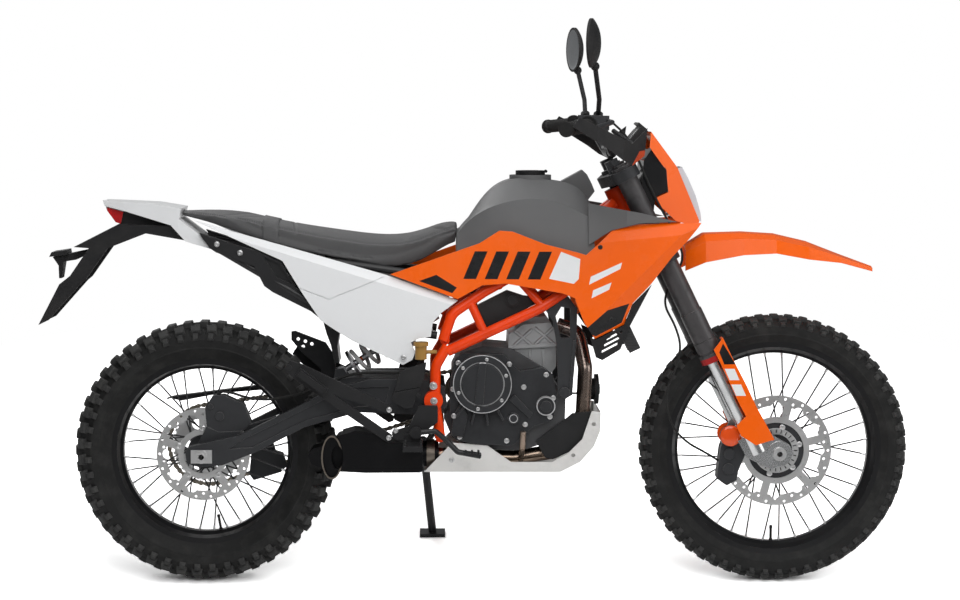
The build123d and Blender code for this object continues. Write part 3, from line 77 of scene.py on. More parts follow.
bpy.ops.object.camera_add()
camera = bpy.context.object
camera.data.lens, camera.data.sensor_width, camera.data.shift_x = LENS, SENSOR, SHIFT_X
forward = Vector((sin(YAW) * cos(PITCH), cos(YAW) * cos(PITCH), -sin(PITCH)))
right = Vector((cos(YAW), -sin(YAW), 0))
up = right.cross(forward)
turned = Matrix((right, up, -forward)).transposed().to_4x4()
camera.matrix_world = PARKED @ Matrix.Translation(TARGET - forward * DISTANCE) @ turned
bpy.context.scene.camera = camera
print("camera at", [round(c, 2) for c in camera.matrix_world.translation])

# %% [markdown]
# ## Shader maths
# A material is a small program. Wrapping a socket in a class with operators lets that program be
# written as plain expressions: each operator adds one Math node and returns its output.


# %% Sockets as numbers
class Wire:
    """An output socket that can be added, multiplied and compared."""

    def __init__(self, finish, socket):
        self.finish, self.socket = finish, socket

    def math(self, operation, *others, clamp=False):
        settings = {"operation": operation, "use_clamp": clamp}
        return self.finish.add("ShaderNodeMath", settings, [self, *others])

    def __add__(self, other):
        return self.math("ADD", other)

    def __sub__(self, other):
        return self.math("SUBTRACT", other)

    def __rsub__(self, other):
        return self.finish.add("ShaderNodeMath", {"operation": "SUBTRACT"}, [other, self])

    def __mul__(self, other):
        return self.math("MULTIPLY", other)

    def __gt__(self, other):
        return self.math("GREATER_THAN", other)

    def __lt__(self, other):
        return self.math("LESS_THAN", other)

    def soft(self, low, high):
        """0 below low, 1 above high, and smooth between."""
        settings = {"interpolation_type": "SMOOTHSTEP"}
        inputs = {"Value": self, "From Min": low, "From Max": high}
        return self.finish.add("ShaderNodeMapRange", settings, inputs)

    def clamped(self):
        return self.math("ADD", 0.0, clamp=True)

    __radd__, __rmul__ = __add__, __mul__


class Finish:
    """A material being made, with its principled shader and its place on the machine."""

    def __init__(self, name, colour, roughness, metallic=0.0, coat=0.0, specular=0.5):
        self.material = bpy.data.materials.new(name)
        self.material.use_nodes = True
        self.tree = self.material.node_tree
        self.shader = self.tree.nodes["Principled BSDF"]
        self.set(Roughness=roughness, Metallic=metallic)
        self.set(**{"Base Color": (*colour, 1), "Coat Weight": coat, "Specular IOR Level": specular})
        self.material.diffuse_color = (*colour, 1)
        self.place = self.add("ShaderNodeTexCoord", want="Object")

    def add(self, kind, settings=None, inputs=None, want=0):
        """Adds a node: settings first, then its sockets' values or links; returns one output."""
        node = self.tree.nodes.new(kind)
        for key, value in (settings or {}).items():
            setattr(node, key, value)
        pairs = enumerate(inputs) if isinstance(inputs, (list, tuple)) else (inputs or {}).items()
        for key, value in pairs:
            if isinstance(value, Wire):
                self.tree.links.new(value.socket, node.inputs[key])
            elif value is not None:
                node.inputs[key].default_value = value
        return Wire(self, node.outputs[want])

    def set(self, **sockets):
        """Gives the shader's sockets values or links."""
        for key, value in sockets.items():
            socket = self.shader.inputs[key.replace("_", " ")]
            if isinstance(value, Wire):
                self.tree.links.new(value.socket, socket)
            else:
                socket.default_value = value
        return self

    def noise(self, scale, detail=3, roughness=0.5, stretch=None):
        where = self.place
        if stretch:
            where = self.add("ShaderNodeMapping", None, {"Vector": where, "Scale": stretch})
        inputs = {"Vector": where, "Scale": scale, "Detail": detail, "Roughness": roughness}
        return self.add("ShaderNodeTexNoise", None, inputs, want="Fac")

    def cells(self, scale, feature="DISTANCE_TO_EDGE", randomness=1.0):
        inputs = {"Vector": self.place, "Scale": scale, "Randomness": randomness}
        return self.add("ShaderNodeTexVoronoi", {"feature": feature}, inputs, want="Distance")

    def mix(self, factor, first, second):
        """Blends two colours, given as numbers or as links."""
        settings = {"data_type": "RGBA"}
        colours = [(*c, 1) if isinstance(c, tuple) and len(c) == 3 else c for c in (first, second)]
        return self.add("ShaderNodeMix", settings, {0: factor, 6: colours[0], 7: colours[1]}, want=2)

    def upright(self):
        """X, Y and Z of the upright machine, in metres, from a point of the parked one."""
        back = Matrix.Rotation(LEAN, 4, "X") @ -SHIFT
        inputs = {"Vector": self.place, "Location": back, "Rotation": (LEAN, 0, 0)}
        spun = self.add("ShaderNodeMapping", {"vector_type": "POINT"}, inputs)
        split = self.add("ShaderNodeSeparateXYZ", None, [spun])
        outputs = split.socket.node.outputs
        return [Wire(self, outputs[k]) for k in range(3)]

    def relief(self, height, depth, edge=0.0):
        """Bump from a height, over edges rounded by a bevel of that radius."""
        inputs = {"Height": height, "Distance": depth, "Strength": 1.0}
        if edge:
            inputs["Normal"] = self.add("ShaderNodeBevel", {"samples": 4}, {"Radius": edge})
        return self.set(Normal=self.add("ShaderNodeBump", None, inputs))

    def edge_mask(self, radius):
        """1 along sharp edges and 0 on flats: how far a bevel turns the surface's normal."""
        rounded = self.add("ShaderNodeBevel", {"samples": 4}, {"Radius": radius})
        flat = self.add("ShaderNodeNewGeometry", want="Normal")
        same = self.add("ShaderNodeVectorMath", {"operation": "DOT_PRODUCT"}, [rounded, flat], want="Value")
        return (1.0 - same).soft(0.02, 0.2)


def polygon(x, z, corners):
    """A mask: 1 inside a convex outline in side view, given anticlockwise in millimetres."""
    mask = None
    for (ax, az), (bx, bz) in zip(corners, corners[1:] + corners[:1]):
        length = hypot(bx - ax, bz - az)
        nx, nz = -(bz - az) / length, (bx - ax) / length
        side = x * nx + z * nz - (ax * nx + az * nz) * MM
        inside = side.soft(-0.0004, 0.0004)
        mask = inside if mask is None else mask * inside
    return mask


# %% [markdown]
# ## Finishes
# Painted and moulded parts of a machine like this differ less in colour than in surface: gloss orange
# plastic with a faint ripple, powder-coated tube, grained black plastic, bead-blasted castings.
# Each finish therefore gets its own relief and its own play of roughness, at the scale of the real one.
# A finish may also be given a paint function, which returns a colour that changes from place to place.

# %% Plastics and paint
ORANGE, FRAME_ORANGE = (0.92, 0.125, 0.003), (0.88, 0.055, 0.001)
WHITE, DARK_GREY, BLACK = (0.8, 0.81, 0.82), (0.125, 0.126, 0.128), (0.009, 0.009, 0.01)
DUST, BARE = (0.34, 0.31, 0.28), (0.86, 0.82, 0.78)


def gloss_plastic(name, colour, roughness=0.28, coat=0.08, paint=None):
    """Injection-moulded gloss plastic: a faint ripple, a film of dust, edges worn a little paler."""
    finish = Finish(name, colour, roughness, coat=coat, specular=0.2)
    base = paint(finish) if paint else colour
    ripple, fine = finish.noise(38, 2), finish.noise(900, 2)
    film = finish.noise(7, 5, 0.6).soft(0.42, 0.75)
    dusty = finish.mix(film * 0.035, base, DUST)
    worn = finish.edge_mask(0.0016) * 0.1
    finish.set(**{"Base Color": finish.mix(worn, dusty, BARE)})
    finish.set(Roughness=film * 0.1 + fine * 0.05 + (roughness - 0.04))
    return finish.relief(ripple * 0.8 + fine * 0.06, 0.0005, 0.0012)


def grained_plastic(name, colour, roughness=0.55, cell=900, depth=0.00018, paint=None):
    """Textured plastic: a leathery grain from small cells, rubbed smoother along the edges."""
    finish = Finish(name, colour, roughness, specular=0.3)
    base = paint(finish) if paint else colour
    grain = finish.cells(cell).soft(0.0, 0.4)
    patches = finish.noise(9, 4, 0.6)
    rubbed = finish.edge_mask(0.0015)
    dusty = finish.mix(patches.soft(0.4, 0.7) * 0.025, base, DUST)
    finish.set(**{"Base Color": finish.mix(rubbed * 0.05, dusty, BARE)})
    finish.set(Roughness=patches * 0.16 + (roughness - 0.08) - rubbed * 0.12)
    return finish.relief(grain, depth, 0.0011)


def coated_metal(name, colour, roughness=0.36, metallic=0.0, coat=0.2, speck=520):
    """Powder coat or satin paint on metal: orange peel, and thin bright wear at the edges."""
    finish = Finish(name, colour, roughness, metallic=metallic, coat=coat, specular=0.25)
    peel = finish.noise(speck, 2)
    cloud = finish.noise(11, 4, 0.6)
    worn = finish.edge_mask(0.0012) * finish.noise(60, 4, 0.7).soft(0.5, 0.68)
    deep = tuple(c * 0.85 for c in colour)
    shade = finish.mix(cloud.soft(0.4, 0.7), colour, deep)
    finish.set(**{"Base Color": finish.mix(worn * 0.2, shade, BARE)})
    finish.set(Roughness=peel * 0.12 + cloud * 0.1 + (roughness - 0.1))
    return finish.relief(peel, 0.00022, 0.0009)


def cast_metal(name, colour, roughness=0.42, metallic=0.85, pit=700, grime=0.5, paint=None):
    """A casting: fine pits from the mould and grime settled in patches."""
    finish = Finish(name, colour, roughness, metallic=metallic)
    base = paint(finish) if paint else colour
    pits = finish.noise(pit, 3, 0.65)
    dirt = finish.noise(16, 6, 0.62).soft(0.45, 0.72) * grime
    worn = finish.edge_mask(0.0014)
    grimy = finish.mix(dirt, base, tuple(c * 0.35 for c in colour))
    finish.set(**{"Base Color": finish.mix(worn * 0.15, grimy, BARE)})
    finish.set(Roughness=pits * 0.2 + dirt * 0.25 + (roughness - 0.1))
    return finish.relief(pits, 0.00035, 0.0014)


def turned_metal(name, colour, roughness=0.25, stretch=(1, 1, 1), scratch=140, paint=None):
    """Bright machined or drawn metal with hair-line scratches along one direction."""
    finish = Finish(name, colour, roughness, metallic=1.0)
    base = paint(finish) if paint else colour
    hair = finish.noise(scratch, 3, 0.7, stretch=stretch)
    stain = finish.noise(12, 5, 0.6).soft(0.45, 0.8)
    finish.set(**{"Base Color": finish.mix(stain * 0.4, base, tuple(c * 0.6 for c in colour))})
    finish.set(Roughness=hair * 0.22 + stain * 0.12 + (roughness - 0.1))
    return finish.relief(hair, 0.00012, 0.0006)


# %% [markdown]
# ## Painted patterns
# The shrouds and fork guards carry a generic pattern of slanted bars and stripes. Each outline is a
# short list of places in side view, turned into a mask, so the pattern stays on the part as it moves.
# The same masks set off a lens from its housing or a ring from the tube it sits on.


# %% Pattern outlines
def bar(x, low, high, width, lean=0.42):
    """A slanted bar in side view, anticlockwise."""
    shift = (high - low) * lean
    return [(x, low), (x + width, low), (x + width + shift, high), (x + shift, high)]


SHROUD_BARS = [bar(x, 798, 868, 32) for x in (668, 722, 776, 830)]
SHROUD_PALE = [
    [(884, 800), (946, 788), (958, 800), (962, 850), (914, 868)],
    [(984, 786), (1062, 826), (1066, 842), (988, 806)],
    [(990, 752), (1034, 774), (1040, 792), (994, 772)],
]
SHROUD_DARK = [
    [(968, 668), (1002, 655), (1068, 688), (1086, 738), (1030, 722)],
    [(556, 792), (640, 762), (652, 776), (600, 808)],
]
GUARD_SLASHES = [
    [(1345, 540), (1370, 540), (1357, 569), (1332, 569)],
    [(1362, 500), (1387, 500), (1374, 529), (1349, 529)],
]
GUARD_INSERT = [[(1318, 611), (1331, 580), (1359, 581), (1344, 607), (1327, 634)]]
HAND_INSERT = [[(1073, 1090), (1104, 1090), (1113, 1110), (1113, 1126), (1094, 1124)]]


def inside(x, z, outlines):
    """1 inside any of several outlines."""
    mask = polygon(x, z, outlines[0])
    for outline in outlines[1:]:
        mask = mask.math("MAXIMUM", polygon(x, z, outline))
    return mask


def shroud_paint(finish):
    """Orange with a row of black bars, dark panels and pale blocks."""
    x, y, z = finish.upright()
    dark = inside(x, z, SHROUD_BARS + SHROUD_DARK)
    return finish.mix(inside(x, z, SHROUD_PALE), finish.mix(dark, ORANGE, BLACK), WHITE)


def guard_paint(finish):
    """Orange with a dark insert and two pale slashes."""
    x, y, z = finish.upright()
    dark = inside(x, z, GUARD_INSERT)
    return finish.mix(inside(x, z, GUARD_SLASHES), finish.mix(dark, ORANGE, BLACK), WHITE)


def hand_guard_paint(finish):
    """Black with a dull orange insert."""
    x, y, z = finish.upright()
    return finish.mix(inside(x, z, HAND_INSERT), BLACK, (0.5, 0.05, 0.006))


def fork_paint(finish):
    """A red wiper ring at the foot of each fork tube."""
    x, y, z = finish.upright()
    height = (z - STEER_AT.z) * cos(RAKE) - (x - STEER_AT.x) * sin(RAKE)
    return finish.mix(height < -0.127, (0.07, 0.066, 0.068), (0.42, 0.012, 0.012))


def shock_paint(finish):
    """An orange preload collar low on the shock absorber."""
    x, y, z = finish.upright()
    along = (x - 0.356) * 0.836 + (z - 0.548) * 0.549
    collar = (along > 0.05) * (along < 0.064)
    return finish.mix(collar, (0.5, 0.5, 0.52), (0.75, 0.09, 0.004))


def ring(x, z, centre, inner, outer):
    """A mask: 1 between two radii, in millimetres, about a centre in side view."""
    dx, dz = x - centre[0] * MM, z - centre[1] * MM
    distance = (dx * dx + dz * dz).math("SQRT")
    return distance.soft((inner - 0.4) * MM, (inner + 0.4) * MM) * (distance < outer * MM)


CLUTCH_AT, PUMP_AT, FILLER_AT = (717, 530), (879, 473), (797, 440)


def cover_painted_highlights(finish):
    """Painted highlights: bright rings round the clutch cover, and bright rims on the pump and filler caps.
    """
    x, y, z = finish.upright()
    # The bright rings and rims are painted highlights, on the right-hand face only.
    bright = ring(x, z, CLUTCH_AT, 72.5, 74.5).math("MAXIMUM", ring(x, z, CLUTCH_AT, 54, 56.5))
    bright = bright.math("MAXIMUM", ring(x, z, PUMP_AT, 21.5, 24))
    bright = bright.math("MAXIMUM", ring(x, z, FILLER_AT, 9, 11))
    return finish.mix(bright * (y < -0.1), (0.03, 0.031, 0.034), (0.55, 0.55, 0.56))


def silencer_paint(finish):
    """The clamp band and the outlet are bare steel, and the rest is black."""
    x, y, z = finish.upright()
    band = (x > 0.5755) * (x < 0.5965)
    outlet = (y < -0.1655) * (x > 0.27) * (x < 0.392)
    return finish.mix(band.math("MAXIMUM", outlet), (0.018, 0.018, 0.019), (0.22, 0.19, 0.16))


def lamp_paint(finish):
    """The front of the headlamp is clear, and the housing behind it is black."""
    x, y, z = finish.upright()
    return finish.mix(x > 1.192, BLACK, (0.6, 0.63, 0.67))


# %% Finishes made with the recipes
orange_plastic = gloss_plastic("orange moulded plastic", ORANGE)
shroud_plastic = gloss_plastic("orange plastic with painted bars", ORANGE, paint=shroud_paint)
guard_plastic = gloss_plastic("orange plastic with white slashes", ORANGE, paint=guard_paint)
white_plastic = gloss_plastic("white moulded plastic", WHITE, 0.3, 0.25)
grey_plastic = grained_plastic("dark grey satin plastic", DARK_GREY, 0.42, 1300, 0.0001)
black_plastic = grained_plastic("black grained plastic", BLACK, 0.5)
hand_plastic = grained_plastic("black plastic with a red corner", BLACK, 0.5, paint=hand_guard_paint)
radiator_core = cast_metal("black radiator with fine fins", (0.022, 0.022, 0.023), 0.5, 0.4, grime=0.2)
x, y, z = radiator_core.upright()
fins = (z * 1570).math("SINE") * 0.5 + (y * 420).math("SINE").soft(0.6, 0.9)
radiator_core.relief(fins, 0.0008, 0.0008)
frame_paint = coated_metal("orange powder coat on tube", FRAME_ORANGE, 0.34, coat=0.15)
black_paint = coated_metal("black satin paint on metal", (0.018, 0.018, 0.019), 0.4)
silencer_black = turned_metal(
    "black silencer with a steel band", (0.05, 0.05, 0.05), 0.42, paint=silencer_paint
)
black_casting = cast_metal("black coated casting", (0.03, 0.031, 0.034), 0.45, 0.3, grime=0.25)
# The covers' bright rings and cap rims are painted highlights.
cover_casting_painted_highlights = cast_metal(
    "black cover with rings of painted highlight", (0.03, 0.031, 0.034), 0.42, 0.4, paint=cover_painted_highlights
)
fork_casting = cast_metal(
    "dark fork tube with a red ring", (0.035, 0.035, 0.038), 0.36, 0.4, paint=fork_paint
)
cast_alloy = cast_metal("bead-blasted cast alloy", (0.36, 0.365, 0.37), 0.45, 0.75, grime=0.4)
dull_alloy = cast_metal("dark coated crankcase", (0.07, 0.07, 0.073), 0.44, 0.4, grime=0.3)
skid_alloy = turned_metal("brushed skid plate alloy", (0.9, 0.89, 0.87), 0.5, (1, 12, 12))
bright_steel = turned_metal("bright steel", (0.74, 0.74, 0.74), 0.3)
shock_metal = turned_metal("shock absorber with an orange collar", (0.5, 0.5, 0.52), 0.3, paint=shock_paint)
chain_steel = turned_metal("oiled chain steel", (0.3, 0.27, 0.22), 0.34)
slider_chrome = turned_metal("ground fork slider", (0.74, 0.75, 0.76), 0.16, (20, 20, 1))
black_rim = coated_metal("black anodised rim", (0.012, 0.012, 0.013), 0.32, 0.2, 0.3)
spring_paint = gloss_plastic("white painted spring", (0.72, 0.72, 0.72), 0.35, 0.2)
amber_plastic = gloss_plastic("amber reservoir", (0.36, 0.2, 0.055), 0.25)
red_lens = gloss_plastic("red lens", (0.5, 0.008, 0.01), 0.12, 0.9)
lamp_lens = gloss_plastic("headlamp lens in its black housing", BLACK, 0.12, 0.9, paint=lamp_paint)
amber_lens = gloss_plastic("amber reflector", (0.8, 0.085, 0.008), 0.12, 0.9)
mirror_glass = turned_metal("mirror glass", (0.72, 0.75, 0.78), 0.1)
dark_glass = gloss_plastic("dark display glass", (0.01, 0.012, 0.014), 0.1, 0.9)
rubber = grained_plastic("black grip rubber", (0.012, 0.012, 0.012), 0.75, 500, 0.0004)
seat_vinyl = grained_plastic("dark grey seat vinyl", (0.1, 0.1, 0.102), 0.62, 1500, 0.0002)
thread = grained_plastic("grey seat thread", (0.16, 0.16, 0.165), 0.7, 2500, 0.0001)

# %% [markdown]
# ## Rubber and heat
# The tyres are a dusty dark grey rather than black, in patches, with scuffed edges. The carcass is
# darker than the blocks: painted shade in the gaps between them, and painted light on the blocks. The
# header pipe is bare steel that has been hot: straw and bronze near the head, greyer further back. Its
# outer shield is black.

# %% Tyre rubber and exhaust steel
def rubber_compound(name, low, high, edge):
    """Rubber in patches between a low and a high colour, with paler scuffed edges."""
    finish = Finish(name, low, 0.7, specular=0.22)
    scuff = finish.noise(22, 6, 0.65).soft(0.4, 0.75)
    shade = finish.mix(scuff, low, high)
    finish.set(**{"Base Color": finish.mix(finish.edge_mask(0.0015) * 0.5, shade, edge)})
    finish.set(Roughness=scuff * 0.15 + 0.62)
    return finish.relief(finish.noise(600, 3), 0.0003, 0.0012)


# The carcass rubber is darker than the block rubber: painted shade between the blocks, and painted light on
# the blocks.
carcass_rubber_painted_shade = rubber_compound(
    "tyre carcass rubber darkened as painted shade", (0.012, 0.012, 0.012), (0.028, 0.028, 0.027), (0.06, 0.059, 0.057)
)
block_rubber_painted_light = rubber_compound(
    "tread block rubber lightened as painted light", (0.034, 0.034, 0.034), (0.06, 0.06, 0.058), (0.13, 0.128, 0.124)
)

hot_steel = Finish("heat-stained exhaust steel", (0.45, 0.4, 0.34), 0.3, metallic=1.0)
x, y, z = hot_steel.upright()
heat = (z * 2.0 - 0.55 + hot_steel.noise(14, 4, 0.6) * 0.5).clamped()
tint = hot_steel.mix(heat, (0.36, 0.27, 0.19), (0.3, 0.24, 0.22))
soot = hot_steel.noise(30, 6, 0.7).soft(0.5, 0.7)
stained = hot_steel.mix(soot * 0.7, tint, (0.16, 0.12, 0.1))
shield = (y < -0.0925) * (x > 0.845)
hot_steel.set(**{"Base Color": hot_steel.mix(shield, stained, (0.02, 0.02, 0.021))})
hot_steel.set(Roughness=soot * 0.2 + 0.24 + shield * 0.14, Metallic=1.0 - shield * 0.6)
hot_steel.relief(hot_steel.noise(260, 3), 0.0001, 0.001)

# %% [markdown]
# ## Which node wears what
# A CAD node keeps its mesh and only changes its material.

# %% Finishes for the nodes
WEARS = {
    frame_paint: ["main_frame"],
    black_paint: ["subframe", "footpegs", "foot_levers", "side_stand", "stand_bracket", "handlebar"],
    silencer_black: ["silencer"],
    cast_alloy: ["cylinder", "cylinder_head"],
    radiator_core: ["radiators"],
    black_casting: [
        "triple_clamps", "hand_levers", "front_hub", "rear_hub", "front_caliper",
        "rear_caliper", "engine_mounts", "swingarm",
    ],
    dull_alloy: ["crankcase"],
    cover_casting_painted_highlights: ["engine_covers"],
    fork_casting: ["fork_tubes"],
    hot_steel: ["exhaust_pipe"],
    bright_steel: ["rear_axle", "front_axle", "front_disc", "rear_disc", "rear_sprocket"],
    shock_metal: ["shock_absorber"],
    chain_steel: ["drive_chain"],
    spring_paint: ["shock_spring"],
    grey_plastic: ["fuel_tank"],
    orange_plastic: ["headlamp_mask", "front_fender"],
    shroud_plastic: ["tank_shrouds"],
    guard_plastic: ["fork_guards"],
    white_plastic: ["side_panels", "tail_cover"],
    black_plastic: [
        "radiator_guards", "plate_carrier", "horn", "fuel_cap", "mirrors", "dash_display",
        "heel_guards", "canister",
    ],
    hand_plastic: ["hand_guards"],
    rubber: ["grips", "front_brake_hose", "rear_brake_hose"],
    red_lens: ["tail_lamp"],
    amber_plastic: ["fluid_reservoir"],
    lamp_lens: ["headlamp"],
    skid_alloy: ["skid_plate"],
    slider_chrome: ["fork_sliders"],
    seat_vinyl: ["seat"],
    # The hidden CAD tyres wear the carcass rubber with its painted shade.
    carcass_rubber_painted_shade: ["front_tyre", "rear_tyre"],
    black_rim: ["front_rim", "rear_rim"],
}


def wear(piece, finish):
    """Gives a piece one material."""
    piece.data.materials.clear()
    piece.data.materials.append(finish.material)
    return piece


for finish, names in WEARS.items():
    for name in names:
        wear(nodes[name], finish)
bare = set(nodes) - {name for names in WEARS.values() for name in names}
print("dressed", len(nodes) - len(bare), "nodes, left bare", sorted(bare))


# %% [markdown]
# ## Making pieces
# Three helpers do the handwork that comes back again and again: one starts a primitive and deselects
# the rest, one repeats a modelled shape at many places in one mesh, and one finishes a piece: parks
# it, gives it a finish and lets it ride on a body.

# %% Helpers for pieces
def start(operator, **sizes):
    """Runs an add operator with nothing else selected, and returns the new object."""
    bpy.ops.object.select_all(action="DESELECT")
    operator(**sizes)
    return bpy.context.object


def fresh(name, mesh):
    """An object for a mesh, at the origin."""
    piece = bpy.data.objects.new(name, mesh)
    bpy.context.scene.collection.objects.link(piece)
    return piece


def repeated(name, pattern, places):
    """One object that holds a copy of a pattern's mesh at each place."""
    corners = [vertex.co for vertex in pattern.data.vertices]
    outlines = [list(face.vertices) for face in pattern.data.polygons]
    points, faces = [], []
    for place in places:
        first = len(points)
        points += [place @ corner for corner in corners]
        step = -1 if place.determinant() < 0 else 1
        faces += [[first + k for k in outline[::step]] for outline in outlines]
    mesh = bpy.data.meshes.new(name)
    mesh.from_pydata(points, [], faces)
    return fresh(name, mesh)


def applied(piece, kind, **settings):
    """Adds a modifier and applies it at once."""
    bpy.ops.object.select_all(action="DESELECT")
    piece.select_set(True)
    bpy.context.view_layer.objects.active = piece
    modifier = piece.modifiers.new(kind.title(), kind)
    for key, value in settings.items():
        setattr(modifier, key, value)
    bpy.ops.object.modifier_apply(modifier=modifier.name)
    return piece


def finished(piece, finish, body, smooth=40, park=True):
    """Parks a piece, shades it, gives it its finish and lets it ride."""
    if park:
        piece.data.transform(PARKED)
    bpy.ops.object.select_all(action="DESELECT")
    piece.select_set(True)
    bpy.context.view_layer.objects.active = piece
    if smooth:
        bpy.ops.object.shade_smooth_by_angle(angle=radians(smooth))
    wear(piece, finish)
    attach(piece, body)
    return piece


# %% [markdown]
# ## Tyres
# A knobbly tyre is a carcass and hundreds of equal blocks. The carcass is one closed profile turned
# round the axle. The block is modelled once, its top drawn in and its edges bevelled, then copied
# round the wheel in rows: a slanted pair near the middle, bigger ones on the shoulders, and small ones
# at the top of the side wall. The whole tyre stands in for the plain one of the CAD model.


# %% One block, and a profile turned round an axle
def knob(length, width, height, draw=0.82):
    """A rubber block standing on z = 0, its top smaller than its foot."""
    block = start(bpy.ops.mesh.primitive_cube_add, size=1)
    block.data.transform(Matrix.Diagonal((length, width, height, 1)) @ Matrix.Translation((0, 0, 0.5)))
    for vertex in block.data.vertices:
        if vertex.co.z > height / 2:
            vertex.co.x *= draw
            vertex.co.y *= draw
    return applied(block, "BEVEL", width=0.0013, segments=1)


def turned(name, profile, segments=24, closed=False):
    """A profile of (radius, height) pairs in millimetres turned round Z, its normals outward."""
    bm = bmesh.new()
    rings = []
    for radius, height in profile:
        if radius == 0:
            rings.append([bm.verts.new((0, 0, height * MM))] * segments)
            continue
        turns = [2 * pi * k / segments for k in range(segments)]
        rings.append([bm.verts.new((radius * MM * cos(t), radius * MM * sin(t), height * MM)) for t in turns])
    pairs = list(zip(rings, rings[1:]))
    if closed:
        pairs.append((rings[-1], rings[0]))
    for low, high in pairs:
        for k in range(segments):
            corners = [low[k - 1], low[k], high[k], high[k - 1]]
            corners = [c for i, c in enumerate(corners) if c not in corners[:i]]
            if len(corners) > 2:
                bm.faces.new(corners)
    bmesh.ops.recalc_face_normals(bm, faces=bm.faces)
    mesh = bpy.data.meshes.new(name)
    bm.to_mesh(mesh)
    bm.free()
    return fresh(name, mesh)


def joined(parts):
    """Joins several objects into the first."""
    bpy.ops.object.select_all(action="DESELECT")
    for part in parts:
        part.select_set(True)
    bpy.context.view_layer.objects.active = parts[0]
    bpy.ops.object.join()
    return parts[0]


# %% Carcass and rows
def carcass(name, radius, width, bead, bead_width, drop, lug):
    """The tyre without its blocks, about the Y axis."""
    crown, half, seat = radius - lug, width / 2 - 0.6 * lug, bead_width / 2
    arc = (half * half + drop * drop) / (2 * drop)
    edge = atan2(half, arc - drop)
    belly = bead + 0.42 * (radius - lug - bead)
    outer = [(crown - arc * (1 - cos(edge * s)), arc * sin(edge * s)) for s in (0, 0.2, 0.4, 0.6, 0.8, 1)]
    outer += [(belly + 12, half - 0.3), (belly, half * 0.95), (belly - 1.5, half * 0.95 + 0.8)]
    outer += [(belly - 4, half * 0.94 + 0.8), (belly - 5.5, half * 0.93), (bead + 8, seat + 4), (bead, seat)]
    inner = [(bead, seat - 8), (belly, half * 0.95 - 9), (crown - 12, half * 0.5), (crown - 10, 0)]
    profile = outer + inner
    profile += [(r, -y) for r, y in reversed(inner[:-1])] + [(r, -y) for r, y in reversed(outer[1:])]
    lathe = turned(name, profile, 120, closed=True)
    lathe.data.transform(Matrix.Rotation(pi / 2, 4, "X"))
    return lathe


def rows_of_blocks(name, radius, width, drop, lug, pitches, rows):
    """Rows of (degrees across, length, width, height, twist, lead) blocks round a tyre."""
    half = width / 2
    arc = (half * half + drop * drop) / (2 * drop)
    parts = []
    for bend, length, across, height, twist, lead in rows:
        block = knob(length * MM, across * MM, (height + 4) * MM)
        top, places = radius - lug + height, []
        for side in (1, -1):
            b = radians(bend) * side
            out, over = top - arc * (1 - cos(b)), arc * sin(b)
            foot = Matrix.Translation((0, over * MM, out * MM)) @ Matrix.Rotation(-b, 4, "X")
            foot = foot @ Matrix.Translation((0, 0, -(height + 4.3) * MM))
            foot = foot @ Matrix.Rotation(twist * side, 4, "Z")
            for k in range(pitches):
                turn = 2 * pi * (k + lead) / pitches
                places.append(Matrix.Rotation(turn, 4, "Y") @ foot)
        parts.append(repeated(name, block, places))
        bpy.data.objects.remove(block)
    return parts


def tyre(name, node, body, axle, sizes, pitches, rows):
    """The carcass, which stands in for the CAD tyre, and the blocks on it."""
    radius, width, bead, bead_width, drop, lug = sizes
    base = carcass("bare_" + name, *sizes)
    blocks = joined(rows_of_blocks("blocks_of_" + name, radius, width, drop, lug, pitches, rows))
    # The carcass wears the darker rubber as painted shade, and the blocks wear the lighter one as painted
    # light.
    for piece, finish in ((base, carcass_rubber_painted_shade), (blocks, block_rubber_painted_light)):
        piece.data.transform(Matrix.Translation(axle))
        finished(piece, finish, body, 32)
    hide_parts(node)
    return base, blocks


FRONT_ROWS = [
    # degrees across the crown, length, width, height, twist, lead in pitches
    (9, 22, 17, 9, 0.16, 0.0),
    (30, 24, 18, 9, -0.12, 0.5),
    (43, 14, 14, 5.5, 0.0, 0.5),
]
REAR_ROWS = [
    (10, 26, 25, 12, 0.14, 0.0),
    (34, 30, 28, 12, -0.1, 0.5),
    (48.5, 17, 20, 7, 0.0, 0.5),
]
FRONT_SIZES, REAR_SIZES = (348.4, 92, 270, 56, 20, 9), (340, 138, 234, 72, 34, 12)
front_tyre = tyre("front_tyre", "front_tyre", "front_wheel", FRONT_AXLE, FRONT_SIZES, 56, FRONT_ROWS)
rear_tyre = tyre("rear_tyre", "rear_tyre", "rear_wheel", REAR_AXLE, REAR_SIZES, 48, REAR_ROWS)
print("tyre faces", [len(piece.data.polygons) for piece in front_tyre + rear_tyre])

# %% [markdown]
# ## Seat
# The CAD seat is a hard block. A copy of it is remeshed evenly, drawn in a little, and blown up as
# cloth under slight pressure, held where it rests on the frame. What the cloth moved is capped at a
# few millimetres, so the pad crowns between its edges and stays in the space of the block.

